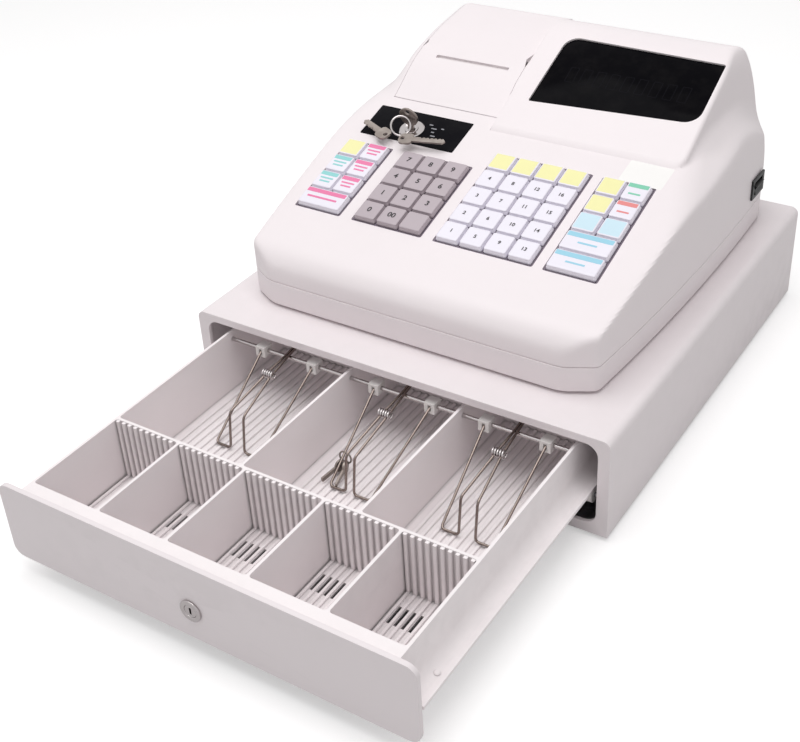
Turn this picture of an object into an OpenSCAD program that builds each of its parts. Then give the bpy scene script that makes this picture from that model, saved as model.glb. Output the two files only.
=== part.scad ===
// Electronic ticket register that stands on a cash drawer cabinet.
// Millimetres, +Z up. The origin is the centre of the cabinet's footprint on the table, and the
// drawer opens towards -Y. The register is drawn in a frame of its own, whose origin lies on the
// cabinet's top at the cabinet's front face.

/* [Cabinet] */
// Width of the cabinet
cab_w = 330; // [320:5:400]
// Depth of the cabinet
cab_d = 350; // [350:5:420]
// Height of the cabinet shell above its feet's mounting plane
cab_h = 77; // [75:1:100]
// Wall thickness of the shell
cab_wall = 2.5; // [2:0.25:4]
// Radius of the shell's long top edges
cab_edge_r = 6; // [3:1:10]
// Thickness of the front frame round the opening
frame_t = 3; // [2:0.25:4]
// Width of the front frame beside the opening
frame_side = 8.5; // [7:0.5:12]
// Height of the front frame above the opening
frame_top = 6; // [4:0.5:10]
// Height of the front frame below the opening
frame_bottom = 8; // [6:0.5:12]
// Radius of the opening's corners
open_r = 9; // [4:1:12]
// Height of the rubber feet
foot_h = 3; // [2:0.5:6]
// Radius of the rubber feet
foot_r = 9; // [6:1:14]
// Distance of the feet from the cabinet's edges
foot_inset = 28; // [20:2:50]
// Thickness of the steel base plate
base_t = 2; // [1:0.25:3]

/* [Drawer] */
// Distance that the drawer is open, which is its whole travel
open_len = 208; // [120:4:212]
// Thickness of the drawer's front plate
face_t = 3.5; // [2.5:0.25:5]
// Gap between the front plate and the opening
face_gap = 2.5; // [1.5:0.25:4]
// Corner radius of the front plate
face_r = 7.5; // [3:0.5:10]
// Space on each side between the tray and the cabinet's inside, for its flange and rail
side_room = 22.5; // [20:0.5:32]
// Space behind the closed drawer, for its latch
rear_room = 47.5; // [45:0.5:60]
// Height of the tray from its underside to its rim
tray_h = 48.8; // [44:0.5:56]
// Distance of the tray's underside above the opening's lower edge
tray_lift = 7.5; // [6.5:0.5:9]
// Wall thickness of the tray
tray_wall = 2; // [1.5:0.25:3]
// Thickness of the tray's floor
tray_floor = 1.5; // [1:0.25:3]
// Depth of the space for the lock behind the front plate
lock_bay = 9.5; // [8:0.5:16]
// Thickness of the strip that closes the lock space from above
strip_t = 2; // [1:0.5:3]
// Length of the coin compartments
coin_len = 75.5; // [60:0.5:90]
// Length of the pocket behind the bill compartments
pocket_len = 28; // [16:1:28]
// Centres of the four walls between the coin compartments, across the tray
coin_div_x = [-84, -29.5, 31.5, 87];
// Centres of the two walls between the bill compartments, across the tray
bill_div_x = [-34, 56];
// Length of the slots in the coin compartments' floors
slot_len = 15; // [10:1:20]
// Width of the slots in the coin compartments' floors
slot_w = 1.6; // [1:0.2:2.4]
// Distance between the slots
slot_pitch = 5.1; // [4:0.1:5.5]
// Distance of the middle of the slots from the wall on their left
slot_side = 12.2; // [11:0.1:14]
// Height of the side flanges' underside above the tray's underside
flange_up = 15; // [9:0.5:20]
// Thickness of the side flanges
flange_t = 2.5; // [2:0.25:4]
// Width of the side flanges
flange_w = 12; // [8:0.5:13]

/* [Runners] */
// Thickness of the slide rails' steel
rail_t = 1.5; // [1:0.25:2.5]
// Width of the slide rails' shelves
rail_shelf = 17; // [14:0.5:20]
// Height of the slide rails' webs
rail_h = 28; // [20:1:40]
// Radius of the front rollers
roller_r = 6; // [4:0.5:7]
// Width of the front rollers
roller_w = 6; // [4:0.5:8]
// Radius of the rollers' pins
roller_pin_r = 1.5; // [1:0.25:2]

/* [Drawer lock] */
// Position of the lock across the drawer
lock_x = -2; // [-40:1:40]
// Height of the lock above the opening's lower edge
lock_up = 26; // [22:0.5:34]
// Radius of the lock's barrel
lock_r = 6.5; // [5:0.25:8]
// Radius of the lock's chrome flange
lock_flange_r = 7.75; // [7:0.25:10]
// Thickness of the lock's chrome flange
lock_flange_t = 1.5; // [1:0.25:3]
// Radius of the lock's plug
plug_r = 4.5; // [3.5:0.25:5]
// Reach of the lock's cam from the plug's axis
cam_len = 29; // [27:0.5:32]

/* [Bill clips] */
// Radius of the clip wire
wire_r = 0.9; // [0.7:0.1:1.2]
// Radius of the clip axle
axle_r = 1.5; // [1.2:0.1:2]
// Distance of the clip axle behind the bill compartments' front wall
clip_back = 119.5; // [90:0.5:140]
// Depth of the clip axle below the tray's rim
clip_drop = 6.3; // [5:0.1:8]
// Half of the distance between a clip's two outer wires at the axle
clip_half = 22.5; // [16:0.5:30]
// Reach of a clip in front of its axle
clip_reach = 66; // [50:1:70]
// Height of the raised middle of a clip above the tray's floor
clip_mid_up = 30.5; // [20:0.5:34]

/* [Register] */
// Sideways offset of the register from the cabinet's middle
reg_x = -3; // [-6:0.5:6]
// Distance of the register's front behind the cabinet's front
reg_front = 31.5; // [25:0.5:40]
// Half of the register's width at its widest place
reg_half = 147.5; // [146:0.5:150]
// Distance of the register's rear behind the cabinet's front
reg_rear = 340; // [340:1:348]
// Bow radius of the register's sides in plan
side_bow = 2070; // [1500:10:4000]
// Wall thickness of the register's case
case_t = 2.5; // [2:0.25:3]
// Height of the register's feet
reg_foot_h = 2; // [1:0.5:4]
// Height of the seam between the lower and upper case
seam_z = 21; // [18:0.5:26]
// Slope of the keyboard deck
deck_slope = 16.3; // [12:0.1:20]
// Height of the keyboard deck at 100 mm behind the cabinet's front
deck_z = 60.5; // [56:0.5:66]
// Slope of the display's face
display_slope = 26; // [20:0.5:30]

/* [Keys] */
// Distance between key columns
key_pitch_x = 19; // [18.5:0.05:19.5]
// Distance between key rows
key_pitch_y = 18.95; // [18.5:0.05:19.2]
// Width of a key at its skirt
key_w = 17.4; // [15:0.1:17.5]
// Width of a key's top
key_top = 14; // [11:0.5:15]
// Height of the key tops above the deck
key_up = 3.8; // [2.5:0.1:6]
// Travel of a key
key_travel = 3; // [1.5:0.25:3.5]
// Left edges of the four key fields: left, numbers, departments, right
field_x = [-127.4, -77, -8.3, 77.5];
// Distance of the key fields' front edge behind the cabinet's front
field_y = 84.3; // [76:0.1:90]

/* [Printer and display] */
// Left edge of the printer cover
cover_x0 = -121; // [-124:0.5:-110]
// Right edge of the printer cover, where the display housing begins
cover_x1 = -27; // [-36:0.5:-22]
// Length of the paper slot
paper_slot = 65; // [45:1:70]
// Width of the paper slot
paper_slot_w = 2.4; // [1.5:0.1:4]
// Radius of the paper roll
roll_r = 24; // [16:0.5:25]
// Radius of the platen roller
platen_r = 7; // [5:0.25:8]
// Radius of the ridge at the printer cover's rear, which turns about its own centre
ridge_r = 14; // [10:0.5:14]

/* [Hidden] */
$fn = 48;
eps = 0.01;

// Clearances
seat = 0.2;
run = 0.05;
ride = 0.3;

// Cabinet
yf = -cab_d / 2;
zt = foot_h + cab_h;
in_x = cab_w / 2 - cab_wall;
in_y = cab_d / 2 - cab_wall;
base_z = foot_h + base_t;
open_x = cab_w / 2 - frame_side;
open_z0 = foot_h + frame_bottom;
open_z1 = zt - frame_top;

// Drawer, from its front plate back
face_y = yf - open_len;
tray_len = cab_d - cab_wall - rear_room - face_t;
tray_y0 = face_y + face_t;
coin_y0 = tray_y0 + lock_bay + tray_wall;
coin_y1 = coin_y0 + coin_len;
bill_y0 = coin_y1 + tray_wall;
tray_y1 = tray_y0 + tray_len;
pocket_y1 = tray_y1 - tray_wall;
pocket_y0 = pocket_y1 - pocket_len;
bill_y1 = pocket_y0 - tray_wall;
tray_z0 = open_z0 + tray_lift;
floor_z = tray_z0 + tray_floor;
rim_z = tray_z0 + tray_h;
tray_x = in_x - side_room;
tray_in = tray_x - tray_wall;
flange_z = tray_z0 + flange_up;
lock_z = open_z0 + lock_up;
closed_y1 = tray_y1 + open_len;

// Compartments as pairs of side walls' inner faces
function bays(div) = let (e = concat([-tray_in - tray_wall / 2], div, [tray_in + tray_wall / 2]))
  [for (i = [0 : len(e) - 2]) [e[i] + tray_wall / 2, e[i + 1] - tray_wall / 2]];
coin_bays = bays(coin_div_x);
bill_bays = bays(bill_div_x);
function mid(b) = (b[0] + b[1]) / 2;

// Rails and rollers
shelf_z = flange_z - ride;
roller_z = shelf_z - roller_r;
roller_x = tray_x + flange_w - roller_w / 2 - 1;
roller_y = yf + frame_t + 1.5 + roller_r;

// Clips
axle_y = bill_y0 + clip_back;
axle_z = rim_z - clip_drop;
foot_wire_z = floor_z + wire_r + ride;
block = [8, 9, 8];

// Latch, at the rear of the cabinet
latch_w = 6;
latch_pin_r = 2;
latch_y = closed_y1 + 25;
latch_z = base_z + 21;
arm_t = 4;
striker_z = base_z + 13;
striker_t = 2;
striker_len = 14;
ear_x = latch_w / 2 + 3;
solenoid_y0 = latch_y + 8;
solenoid_w = 22;
plunger_z = latch_z - 12;
plunger_r = 3;
plunger_tip_r = 1.5;
plunger_gap = 0.5;

// Register
side_y = 235;
front_half = 117;
chamfer_y = 11.5;
rear_r = 12;
roll_front_r = 25;
rear_roll_r = 30;
shoulder_slope = 38;
shoulder_tilt = 3.6;
shoulder_y = 160;
shoulder_z = 73;
shoulder_r = 14;
deck_t = tan(deck_slope);
function deck(y) = deck_z + (y - 100) * deck_t;
function half_w(y) = reg_half - pow(y - side_y, 2) / (2 * side_bow);
cover_y0 = 212;
display_y0 = 196;
display_right = 133.5;
display_top_right = 129.5;
hump_left = -132.5;
hump_top_left = -127;
hump_z0 = 84;
hump_z1 = 139;
hump_r = 10;
display_r = 12;
pin_r = 2;
cover_t = 2.2;
skirt = 5.5;
disc_t = 1.2;
spindle_r = 6;
roll_y = 285;
roll_z = 88;
platen_y = 244;
platen_z = 99;
shaft_r = 2.5;
side_plate_t = 2;
frame_x0 = cover_x0 + disc_t + ride;
frame_x1 = cover_x1 - disc_t - 2 * ride;

// Key fields: columns and rows of each
field_cols = [2, 3, 4, 2];
field_rows = [4, 4, 5, 5];
rim_gap = 1.2;
key_skirt = 4;
well_gap = 0.3;
frame_floor = key_skirt + key_travel + 1;
frame_plate = 2;

// Mode panel and lock on the deck, in deck coordinates
panel_x0 = -125;
panel_x1 = -42.5;
panel_v0 = 86.7;
panel_v1 = 121.4;
panel_t = 1.2;
mode_x = -86;
mode_v = 101;
mode_r = 8;
mode_plug_r = 5;

// Switch on the right side wall
switch_y = 301.5;
switch_z = 37;
switch_len = 20;
switch_h = 12.5;
switch_depth = 16;
switch_bezel = 2;

white = [0.94, 0.92, 0.92];
grey = [0.8, 0.78, 0.78];
steel = [0.7, 0.71, 0.73];
chrome = [0.85, 0.86, 0.88];
black = [0.06, 0.06, 0.07];
key_grey = [0.66, 0.64, 0.64];

// Closed outline with the corners rounded by the radii in r
function rounded(p, r, n = 6) = [for (i = [0 : len(p) - 1])
  let (b = p[i], a = p[(i + len(p) - 1) % len(p)] - b, c = p[(i + 1) % len(p)] - b,
       u = a / norm(a), v = c / norm(c), half = acos(u * v) / 2,
       m = b + (u + v) / max(norm(u + v), eps) * r[i] / sin(half),
       s = b + u * r[i] / tan(half) - m, e = b + v * r[i] / tan(half) - m,
       t0 = atan2(s[1], s[0]), turn = (atan2(e[1], e[0]) - t0 + 540) % 360 - 180)
  each r[i] == 0 ? [b] : [for (k = [0 : n]) m + r[i] * [cos(t0 + turn * k / n), sin(t0 + turn * k / n)]]];

// Outline points of a path of straight stretches and right-hand arcs, each [length, radius, turn],
// moved inwards by t
function walk(p, h, segs, t, k = 0) = k == len(segs) ? [] :
  let (q = p + segs[k][0] * [cos(h), sin(h)], r = segs[k][1] - t, turn = segs[k][2],
       m = q + r * [sin(h), -cos(h)], n = max(2, round(turn / 9)))
  concat([p], [for (i = [0 : n]) m + r * [-sin(h - turn * i / n), cos(h - turn * i / n)]],
    walk(m + r * [-sin(h - turn), cos(h - turn)], h - turn, segs, t, k + 1));

// Centre of the last arc of such a path
function last_centre(p, h, segs, k = 0) =
  let (r = segs[k][1], end = h - segs[k][2], m = p + segs[k][0] * [cos(h), sin(h)] + r * [sin(h), -cos(h)])
  k == len(segs) - 1 ? m : last_centre(m + r * [-sin(end), cos(end)], end, segs, k + 1);

// Printer cover's side outline, whose last arc is the ridge that the hinge pin lies in
cover_slope = 35;
ridge_turn = 98;
ridge_run = 30 + (reg_rear - 340 + (14 - ridge_r) * (1 + sin(ridge_turn - 90))) / cos(ridge_turn - 90);
cover_path = [[25.5, 100, 20], [14, 130, 7], [ridge_run, ridge_r, ridge_turn]];
hinge = last_centre([cover_y0, deck(cover_y0)], cover_slope, cover_path);
hinge_y = hinge[0];
hinge_z = hinge[1];
pocket_r = norm([ridge_r, skirt]) + ride;
skirt_room = sqrt(pow(pocket_r, 2) - pow(ridge_r, 2));

module rrect(x0, y0, x1, y1, r) {
  polygon(rounded([[x0, y0], [x1, y0], [x1, y1], [x0, y1]], [r, r, r, r]));
}

module box(a, b) {
  translate(a) cube(b - a);
}

// Prism along Y from y0 to y1 of an outline in X and Z
module along_y(y0, y1) {
  translate([0, y1, 0]) rotate([90, 0, 0]) linear_extrude(y1 - y0) children();
}

// Prism along X from x0 to x1 of an outline in Y and Z
module along_x(x0, x1) {
  translate([x0, 0, 0]) rotate([90, 0, 90]) linear_extrude(x1 - x0) children();
}

module rod_x(x0, x1, y, z, r) {
  translate([x0, y, z]) rotate([0, 90, 0]) cylinder(h = x1 - x0, r = r);
}

function unit(v) = v / norm(v);

// Normal of the plane in which the wire's corner i lies
function corner_normal(p, i) = i == 0 ? unit(p[1] - p[0]) :
  i == len(p) - 1 ? unit(p[i] - p[i - 1]) : unit(unit(p[i] - p[i - 1]) + unit(p[i + 1] - p[i]));

// Rings of the wire from corner 0 to corner i, each slid along its stretch to the next corner
function wire_rings(p, r, n, i) = i == 0 ?
  let (d = unit(p[1] - p[0]), u = unit(cross(d, [1, 0, 0])), v = cross(d, u))
  [[for (k = [0 : n - 1]) p[0] + r * (cos(360 * k / n) * u + sin(360 * k / n) * v)]] :
  let (before = wire_rings(p, r, n, i - 1), d = unit(p[i] - p[i - 1]), m = corner_normal(p, i))
  concat(before, [[for (q = before[i - 1]) q + d * (((p[i] - q) * m) / (d * m))]]);

// Round wire along a list of corners
module wire(p, r, n = 10) {
  last = len(p) - 1;
  rings = wire_rings(p, r, n, last);
  polyhedron(points = [for (ring = rings) each ring],
    faces = concat([[for (k = [0 : n - 1]) k]], [[for (k = [n - 1 : -1 : 0]) last * n + k]],
      [for (i = [0 : last - 1]) for (k = [0 : n - 1])
        [i * n + (k + 1) % n, i * n + k, (i + 1) * n + k, (i + 1) * n + (k + 1) % n]]));
}

module at_reg() {
  translate([reg_x, yf, zt]) children();
}

// Frame on the keyboard deck: X across, Y up the slope, Z away from it
module on_deck() {
  at_reg() translate([0, field_y, deck(field_y)]) rotate([deck_slope, 0, 0]) children();
}

// ---- Cabinet ----

module cabinet_shell() {
  color(white) difference() {
    along_y(yf, cab_d / 2) polygon(rounded([[-cab_w / 2, foot_h], [cab_w / 2, foot_h],
      [cab_w / 2, zt], [-cab_w / 2, zt]], [0, 0, cab_edge_r, cab_edge_r]));
    box([-in_x, yf + frame_t, foot_h - 1], [in_x, in_y, zt - cab_wall]);
    along_y(yf - 1, yf + frame_t + 1) rrect(-open_x, open_z0, open_x, open_z1, open_r);
  }
}

module at_feet() {
  for (x = [-1, 1]) for (y = [-1, 1])
    translate([x * (cab_w / 2 - foot_inset), y * (cab_d / 2 - foot_inset), 0]) children();
}

screw_r = 2;
screw_head_r = 4;
foot_recess = foot_h / 2;

module cabinet_base() {
  color(grey) difference() {
    box([-in_x + seat, yf + frame_t + seat, foot_h], [in_x - seat, in_y - seat, base_z]);
    at_feet() cylinder(h = base_z + 1, r = screw_r + 0.1);
  }
}

module rubber_feet() {
  color(black) at_feet() difference() {
    cylinder(h = foot_h, r = foot_r);
    translate([0, 0, -1]) cylinder(h = foot_recess + 1, r = screw_head_r + 0.3);
    cylinder(h = foot_h + 1, r = screw_r + 0.1);
  }
}

module foot_screws() {
  color(steel) at_feet() {
    translate([0, 0, foot_recess - 1.1]) cylinder(h = 1.1, r = screw_head_r);
    translate([0, 0, foot_recess - 0.1]) cylinder(h = base_z + 1 - foot_recess, r = screw_r);
    translate([0, 0, base_z]) cylinder(h = 2.2, r = screw_head_r, $fn = 6);
  }
}

module slide_rails() {
  rail_y0 = roller_y + roller_r + 1.5;
  rail_y1 = in_y - 4;
  color(steel) for (s = [0, 1]) mirror([s, 0, 0]) {
    box([in_x - rail_t, yf + frame_t + 1, shelf_z - rail_h + 8], [in_x, rail_y1, shelf_z + 8]);
    box([in_x - rail_shelf, rail_y0, shelf_z - rail_t], [in_x - rail_t + eps, rail_y1, shelf_z]);
    rod_x(roller_x - roller_w / 2 - 1, in_x - rail_t + eps, roller_y, roller_z, roller_pin_r);
  }
}

module front_rollers() {
  color([0.9, 0.9, 0.88]) for (s = [0, 1]) mirror([s, 0, 0]) difference() {
    rod_x(roller_x - roller_w / 2, roller_x + roller_w / 2, roller_y, roller_z, roller_r);
    rod_x(roller_x - roller_w, roller_x + roller_w, roller_y, roller_z, roller_pin_r + run);
  }
}

module latch_bracket() {
  color(steel) {
    box([-ear_x - 1.5, latch_y - 8, base_z], [ear_x + 1.5, latch_y + 5, base_z + 1.5]);
    for (s = [-1, 1]) along_x(s * (ear_x + 0.75) - 0.75, s * (ear_x + 0.75) + 0.75)
      polygon(rounded([[latch_y - 8, base_z], [latch_y + 5, base_z], [latch_y + 5, latch_z + 5],
        [latch_y - 5, latch_z + 5]], [0, 0, 4, 4]));
    rod_x(-ear_x - eps, ear_x + eps, latch_y, latch_z, latch_pin_r);
  }
}

// Hook with its nose over the striker's hole, drawn released, with the plunger's lever below its pin
module latch_hook() {
  nose_y = closed_y1 + 5.6;
  nose_z = striker_z + striker_t + 0.6;
  color(chrome) difference() {
    union() {
      box([-latch_w / 2, closed_y1 + 3.5, latch_z - arm_t / 2],
          [latch_w / 2, latch_y, latch_z + arm_t / 2]);
      box([-latch_w / 2, nose_y, nose_z], [latch_w / 2, nose_y + 3, latch_z]);
      box([-latch_w / 2, latch_y - arm_t / 2, plunger_z - 3], [latch_w / 2, latch_y + arm_t / 2, latch_z]);
      rod_x(-latch_w / 2, latch_w / 2, latch_y, latch_z, latch_pin_r + 1.4);
    }
    rod_x(-latch_w, latch_w, latch_y, latch_z, latch_pin_r + run);
  }
}

module solenoid() {
  color([0.55, 0.35, 0.2]) difference() {
    box([-solenoid_w / 2, solenoid_y0, base_z], [solenoid_w / 2, in_y - 1, plunger_z + 9]);
    along_y(solenoid_y0 - 1, in_y - 2.5) translate([0, plunger_z]) circle(r = plunger_r + run);
  }
}

// Plunger that pushes the hook's lever with its thin end
module solenoid_plunger() {
  color(chrome) {
    along_y(solenoid_y0 + 3, in_y - 6) translate([0, plunger_z]) circle(r = plunger_r);
    along_y(latch_y + arm_t / 2 + plunger_gap, solenoid_y0 + 3 + eps)
      translate([0, plunger_z]) circle(r = plunger_tip_r);
  }
}

// ---- Drawer ----

module tray_bays() {
  for (b = coin_bays) box([b[0], coin_y0, tray_z0 - 2], [b[1], coin_y1, rim_z + 1]);
  for (b = bill_bays) box([b[0], bill_y0, floor_z], [b[1], bill_y1, rim_z + 1]);
  box([-tray_in, pocket_y0, floor_z], [tray_in, pocket_y1, rim_z + 1]);
  box([-tray_in, tray_y0 - 1, tray_z0 - 1], [tray_in, tray_y0 + lock_bay, rim_z - strip_t]);
}

module coin_slots() {
  for (i = [1 : len(coin_bays) - 1]) for (k = [-1.5 : 1 : 1.5]) {
    x = coin_bays[i][0] + slot_side + k * slot_pitch;
    box([x - slot_w / 2, coin_y0 + coin_len * 0.62, tray_z0 - 1],
      [x + slot_w / 2, coin_y0 + coin_len * 0.62 + slot_len, floor_z + 1]);
  }
}

// Walls of all compartments, with the floor of the bill compartments and of the pocket
module drawer_tray() {
  color(grey) difference() {
    box([-tray_x, tray_y0, tray_z0], [tray_x, tray_y1, rim_z]);
    tray_bays();
    box([-tray_x - 1, tray_y0 - 1, tray_z0 - 1], [tray_x + 1, coin_y1, floor_z]);
    rod_x(-tray_in - 1, tray_in + 1, axle_y, axle_z, axle_r);
  }
}

// Flanges that slide on the rails and the rollers
module tray_flanges() {
  color(grey) for (s = [0, 1]) mirror([s, 0, 0])
    box([tray_x, tray_y0 + 4, flange_z], [tray_x + flange_w, tray_y1, flange_z + flange_t]);
}

// Floor under the coin compartments, with the slots
module coin_floor() {
  color(grey) difference() {
    box([-tray_x, coin_y0 - tray_wall, tray_z0], [tray_x, coin_y1, floor_z]);
    coin_slots();
  }
}

module drawer_front() {
  color(white) difference() {
    along_y(face_y, tray_y0) rrect(-open_x + face_gap, open_z0 + face_gap, open_x - face_gap,
      open_z1 - face_gap, face_r);
    translate([lock_x, tray_y0 + 1, lock_z]) rotate([90, 0, 0]) cylinder(h = face_t + 2, r = lock_r + run);
  }
}

// Steel plate with the hole that the latch hook drops into
module drawer_striker() {
  color(steel) difference() {
    union() {
      box([-10, tray_y1, striker_z], [10, tray_y1 + striker_len, striker_z + striker_t]);
      box([-10, tray_y1, striker_z], [10, tray_y1 + 1.5, striker_z + 12]);
    }
    box([-4, tray_y1 + 5, striker_z - 1], [4, tray_y1 + 10.6, striker_z + striker_t + 1]);
  }
}

module at_lock() {
  translate([lock_x, face_y, lock_z]) rotate([-90, 0, 0]) children();
}

barrel_len = face_t + 2.5;

module lock_barrel() {
  color(chrome) at_lock() difference() {
    union() {
      translate([0, 0, -lock_flange_t]) cylinder(h = lock_flange_t, r = lock_flange_r);
      cylinder(h = barrel_len, r = lock_r);
    }
    translate([0, 0, -lock_flange_t - 1]) cylinder(h = barrel_len + lock_flange_t + 2, r = plug_r + run);
  }
}

module lock_plug() {
  color(chrome) at_lock() difference() {
    translate([0, 0, -lock_flange_t + 0.3]) cylinder(h = barrel_len + lock_flange_t, r = plug_r);
    translate([-0.7, -2.6, -lock_flange_t - 1]) cube([1.4, 5.2, 5]);
  }
}

// Cam behind the barrel, drawn level in its unlocked position
module lock_cam() {
  color(steel) at_lock() translate([0, 0, barrel_len + 0.3]) linear_extrude(1.6)
    polygon(rounded([[-6, -6], [cam_len, -5], [cam_len, 5], [-6, 6]], [5, 3, 3, 5]));
}

module clip_axle() {
  color(steel) rod_x(-tray_in - 1, tray_in + 1, axle_y, axle_z, axle_r);
}

module bill_clip(c) {
  color(chrome) translate([c, axle_y, 0]) for (s = [0, 1]) mirror([s, 0, 0]) {
    wire([[clip_half, -3, axle_z], [clip_half - 3.5, -clip_reach, foot_wire_z],
      [6, -clip_reach, foot_wire_z], [6, 4 - clip_reach, floor_z + clip_mid_up],
      [2.2, -24, axle_z - 0.5], [1, 0, axle_z + axle_r + wire_r + ride], [1, 8, axle_z + 4.2]],
      wire_r);
  }
}

module bill_clip_left() { bill_clip(mid(bill_bays[0])); }
module bill_clip_middle() { bill_clip(mid(bill_bays[1])); }
module bill_clip_right() { bill_clip(mid(bill_bays[2])); }

module clip_blocks(c) {
  color(white) for (s = [-1, 1]) translate([c + s * clip_half, axle_y, axle_z]) difference() {
    cube(block, center = true);
    rod_x(-block[0], block[0], 0, 0, axle_r + run);
    translate([0, -block[1] / 2, 0]) cube([2 * wire_r + 0.6, 3.6, 2 * wire_r + 3], center = true);
  }
}

module clip_blocks_left() { clip_blocks(mid(bill_bays[0])); }
module clip_blocks_middle() { clip_blocks(mid(bill_bays[1])); }
module clip_blocks_right() { clip_blocks(mid(bill_bays[2])); }

// Two small keys on a ring that hangs on the middle clip's left wire
module drawer_keys() {
  c = mid(bill_bays[1]) - clip_half + 2.6;
  y = axle_y - clip_reach * 0.685;
  z = foot_wire_z + (axle_z - foot_wire_z) * 0.33;
  color(steel) translate([c, y, z - 2.9]) {
    rotate([90, 0, 0]) rotate_extrude() translate([4.6, 0]) circle(r = 0.6, $fn = 16);
    for (s = [-1, 1]) translate([s * 1.6, -1, -4.4]) rotate([8, 0, 12 * s]) rotate([0, -90, 0])
      linear_extrude(1.4, center = true) difference() {
        union() {
          translate([0, -3]) circle(r = 4.6);
          translate([-1.6, -20]) square([3.2, 17]);
        }
        translate([2.2, -0.6]) circle(r = 1.3);
      }
  }
}

// ---- Register ----

// Plan outline, moved inwards by t
function plan(t) = let (
    y0 = reg_front + t, y1 = reg_rear - t, cy = reg_front + chamfer_y + 0.6 * t,
    cx = front_half - 0.25 * t, ys = [for (k = [0 : 5]) cy + (y1 - rear_r + t - cy) * k / 5],
    side = concat([for (y = ys) [half_w(y) - t, y]],
      [for (a = [30 : 30 : 90]) [half_w(y1) - rear_r + (rear_r - t) * cos(a),
        reg_rear - rear_r + (rear_r - t) * sin(a)]]))
  concat([[cx, y0]], side, [for (i = [len(side) - 1 : -1 : 0]) [-side[i][0], side[i][1]]],
    [[-cx, y0]]);

// Side outline of the body with its rolled front and sloping deck
function body_profile(t) = concat([[reg_front - 1 + t, -5]],
  [for (p = walk([reg_front - 1, seam_z], 90, [[0.5, roll_front_r, 90 - deck_slope],
    [(226 - 53) / cos(deck_slope), 50, deck_slope], [70, rear_roll_r, 90]], t)) p + [t, 0]],
  [[reg_rear - t, -5]]);

// Front outline that rounds the body's shoulders, drawn about the shoulder line
module shoulders(t) {
  x = reg_half + 1.5 - t;
  h = 60;
  xt = reg_half + 1.5 - t / sin(shoulder_slope) - h / tan(shoulder_slope) + t;
  polygon(rounded([[-x, -120], [x, -120], [x, -t * 0.5], [xt, h], [-xt, h], [-x, -t * 0.5]],
    [0, 0, shoulder_r, 0, 0, shoulder_r]));
}

module body(t) {
  intersection() {
    translate([0, 0, seam_z - (t > 0 ? 1 : 0)]) linear_extrude(140) polygon(plan(t));
    along_x(-160, 160) polygon(body_profile(t));
    translate([0, shoulder_y, shoulder_z]) rotate([shoulder_tilt, 0, 0]) along_y(-200, 250) shoulders(t);
  }
}

function display_profile(t) = concat([[display_y0 + t, 30]],
  [for (p = walk([display_y0, deck(display_y0) + 1], display_slope, [[103, 36, 90 + display_slope]], t))
    p + t * [sin(display_slope), -cos(display_slope)]],
  [[reg_rear - t, 30]]);

module display_housing(t) {
  intersection() {
    along_x(cover_x1 + t, 150) polygon(display_profile(t));
    along_y(display_y0 - 5, reg_rear + 5) polygon(rounded([[cover_x1, 31], [display_right - t, 31],
      [display_right - t, hump_z0], [display_top_right - t, hump_z1 - t], [cover_x1, hump_z1 - t]],
      [0, 0, display_r, display_r - t, 0]));
  }
}

// Side outline of the printer cover and the case behind it
function cover_profile(t) = concat([[cover_y0 + t, 30]],
  [for (p = walk([cover_y0, deck(cover_y0)], cover_slope, cover_path, t))
    p + t * [sin(cover_slope), -cos(cover_slope)]],
  [[reg_rear - 1 - t, 30]]);

module printer_housing(t) {
  intersection() {
    along_x(hump_left - 5, cover_x1 + 1 - t) polygon(cover_profile(t));
    along_y(cover_y0 - 5, reg_rear + 5) polygon(rounded([[hump_left + t, 31], [cover_x1 + 2, 31],
      [cover_x1 + 2, hump_z1 - t], [hump_top_left + t, hump_z1 - t], [hump_left + t, hump_z0]],
      [0, 0, 0, hump_r - t, hump_r]));
  }
}

module field_box(i, grow, z0, z1) {
  translate([field_x[i] - grow, -grow, z0])
    cube([field_cols[i] * key_pitch_x + 2 * grow, field_rows[i] * key_pitch_y + 2 * grow, z1 - z0]);
}

// Window outline on the display's face, in from its edge by t
module window_outline(t) {
  translate([0, -0.3]) polygon(rounded([[-10 + t, 30 + t], [120.5 - t, 38 + t], [120 - t, 95.5 - t],
    [-7 + t, 98 - t]], [0, 12 - t, 0, 11 - t]));
}

module on_face() {
  at_reg() translate([0, 200, deck(display_y0) + 1 + 4 * tan(display_slope)])
    rotate([display_slope, 0, 0]) children();
}

window_t = 2;
window_sink = 0.3;
window_lip = 2.5;

module upper_case() {
  color(white) difference() {
    at_reg() {
      body(0);
      display_housing(0);
      printer_housing(0);
    }
    at_reg() {
      body(case_t);
      display_housing(case_t);
      printer_housing(case_t);
      box([cover_x0 - ride, cover_y0 - 0.4, deck(cover_y0) - 20],
        [cover_x1 + eps, hinge_y, hinge_z + 30]);
      box([cover_x0 - ride, hinge_y - eps, hinge_z - skirt_room],
          [cover_x1 + eps, reg_rear + 1, hinge_z + 30]);
      rod_x(cover_x0 - ride, cover_x1 + eps, hinge_y, hinge_z, pocket_r);
      box([100, switch_y - switch_len / 2 - seat, switch_z - switch_h / 2 - seat],
        [200, switch_y + switch_len / 2 + seat, switch_z + switch_h / 2 + seat]);
    }
    on_deck() {
      for (i = [0 : 3]) field_box(i, rim_gap, -12, 8);
      translate([0, 0, -panel_t]) linear_extrude(10) translate([panel_x0 - seat, panel_v0 - seat])
        square([panel_x1 - panel_x0 + 2 * seat, panel_v1 - panel_v0 + 2 * seat]);
      translate([mode_x, mode_v, -12]) cylinder(h = 20, r = mode_r + seat);
    }
    on_face() {
      translate([0, 0, -window_t - window_sink]) linear_extrude(12) window_outline(-seat);
      translate([0, 0, -12]) linear_extrude(20) window_outline(window_lip);
    }
  }
}

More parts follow.
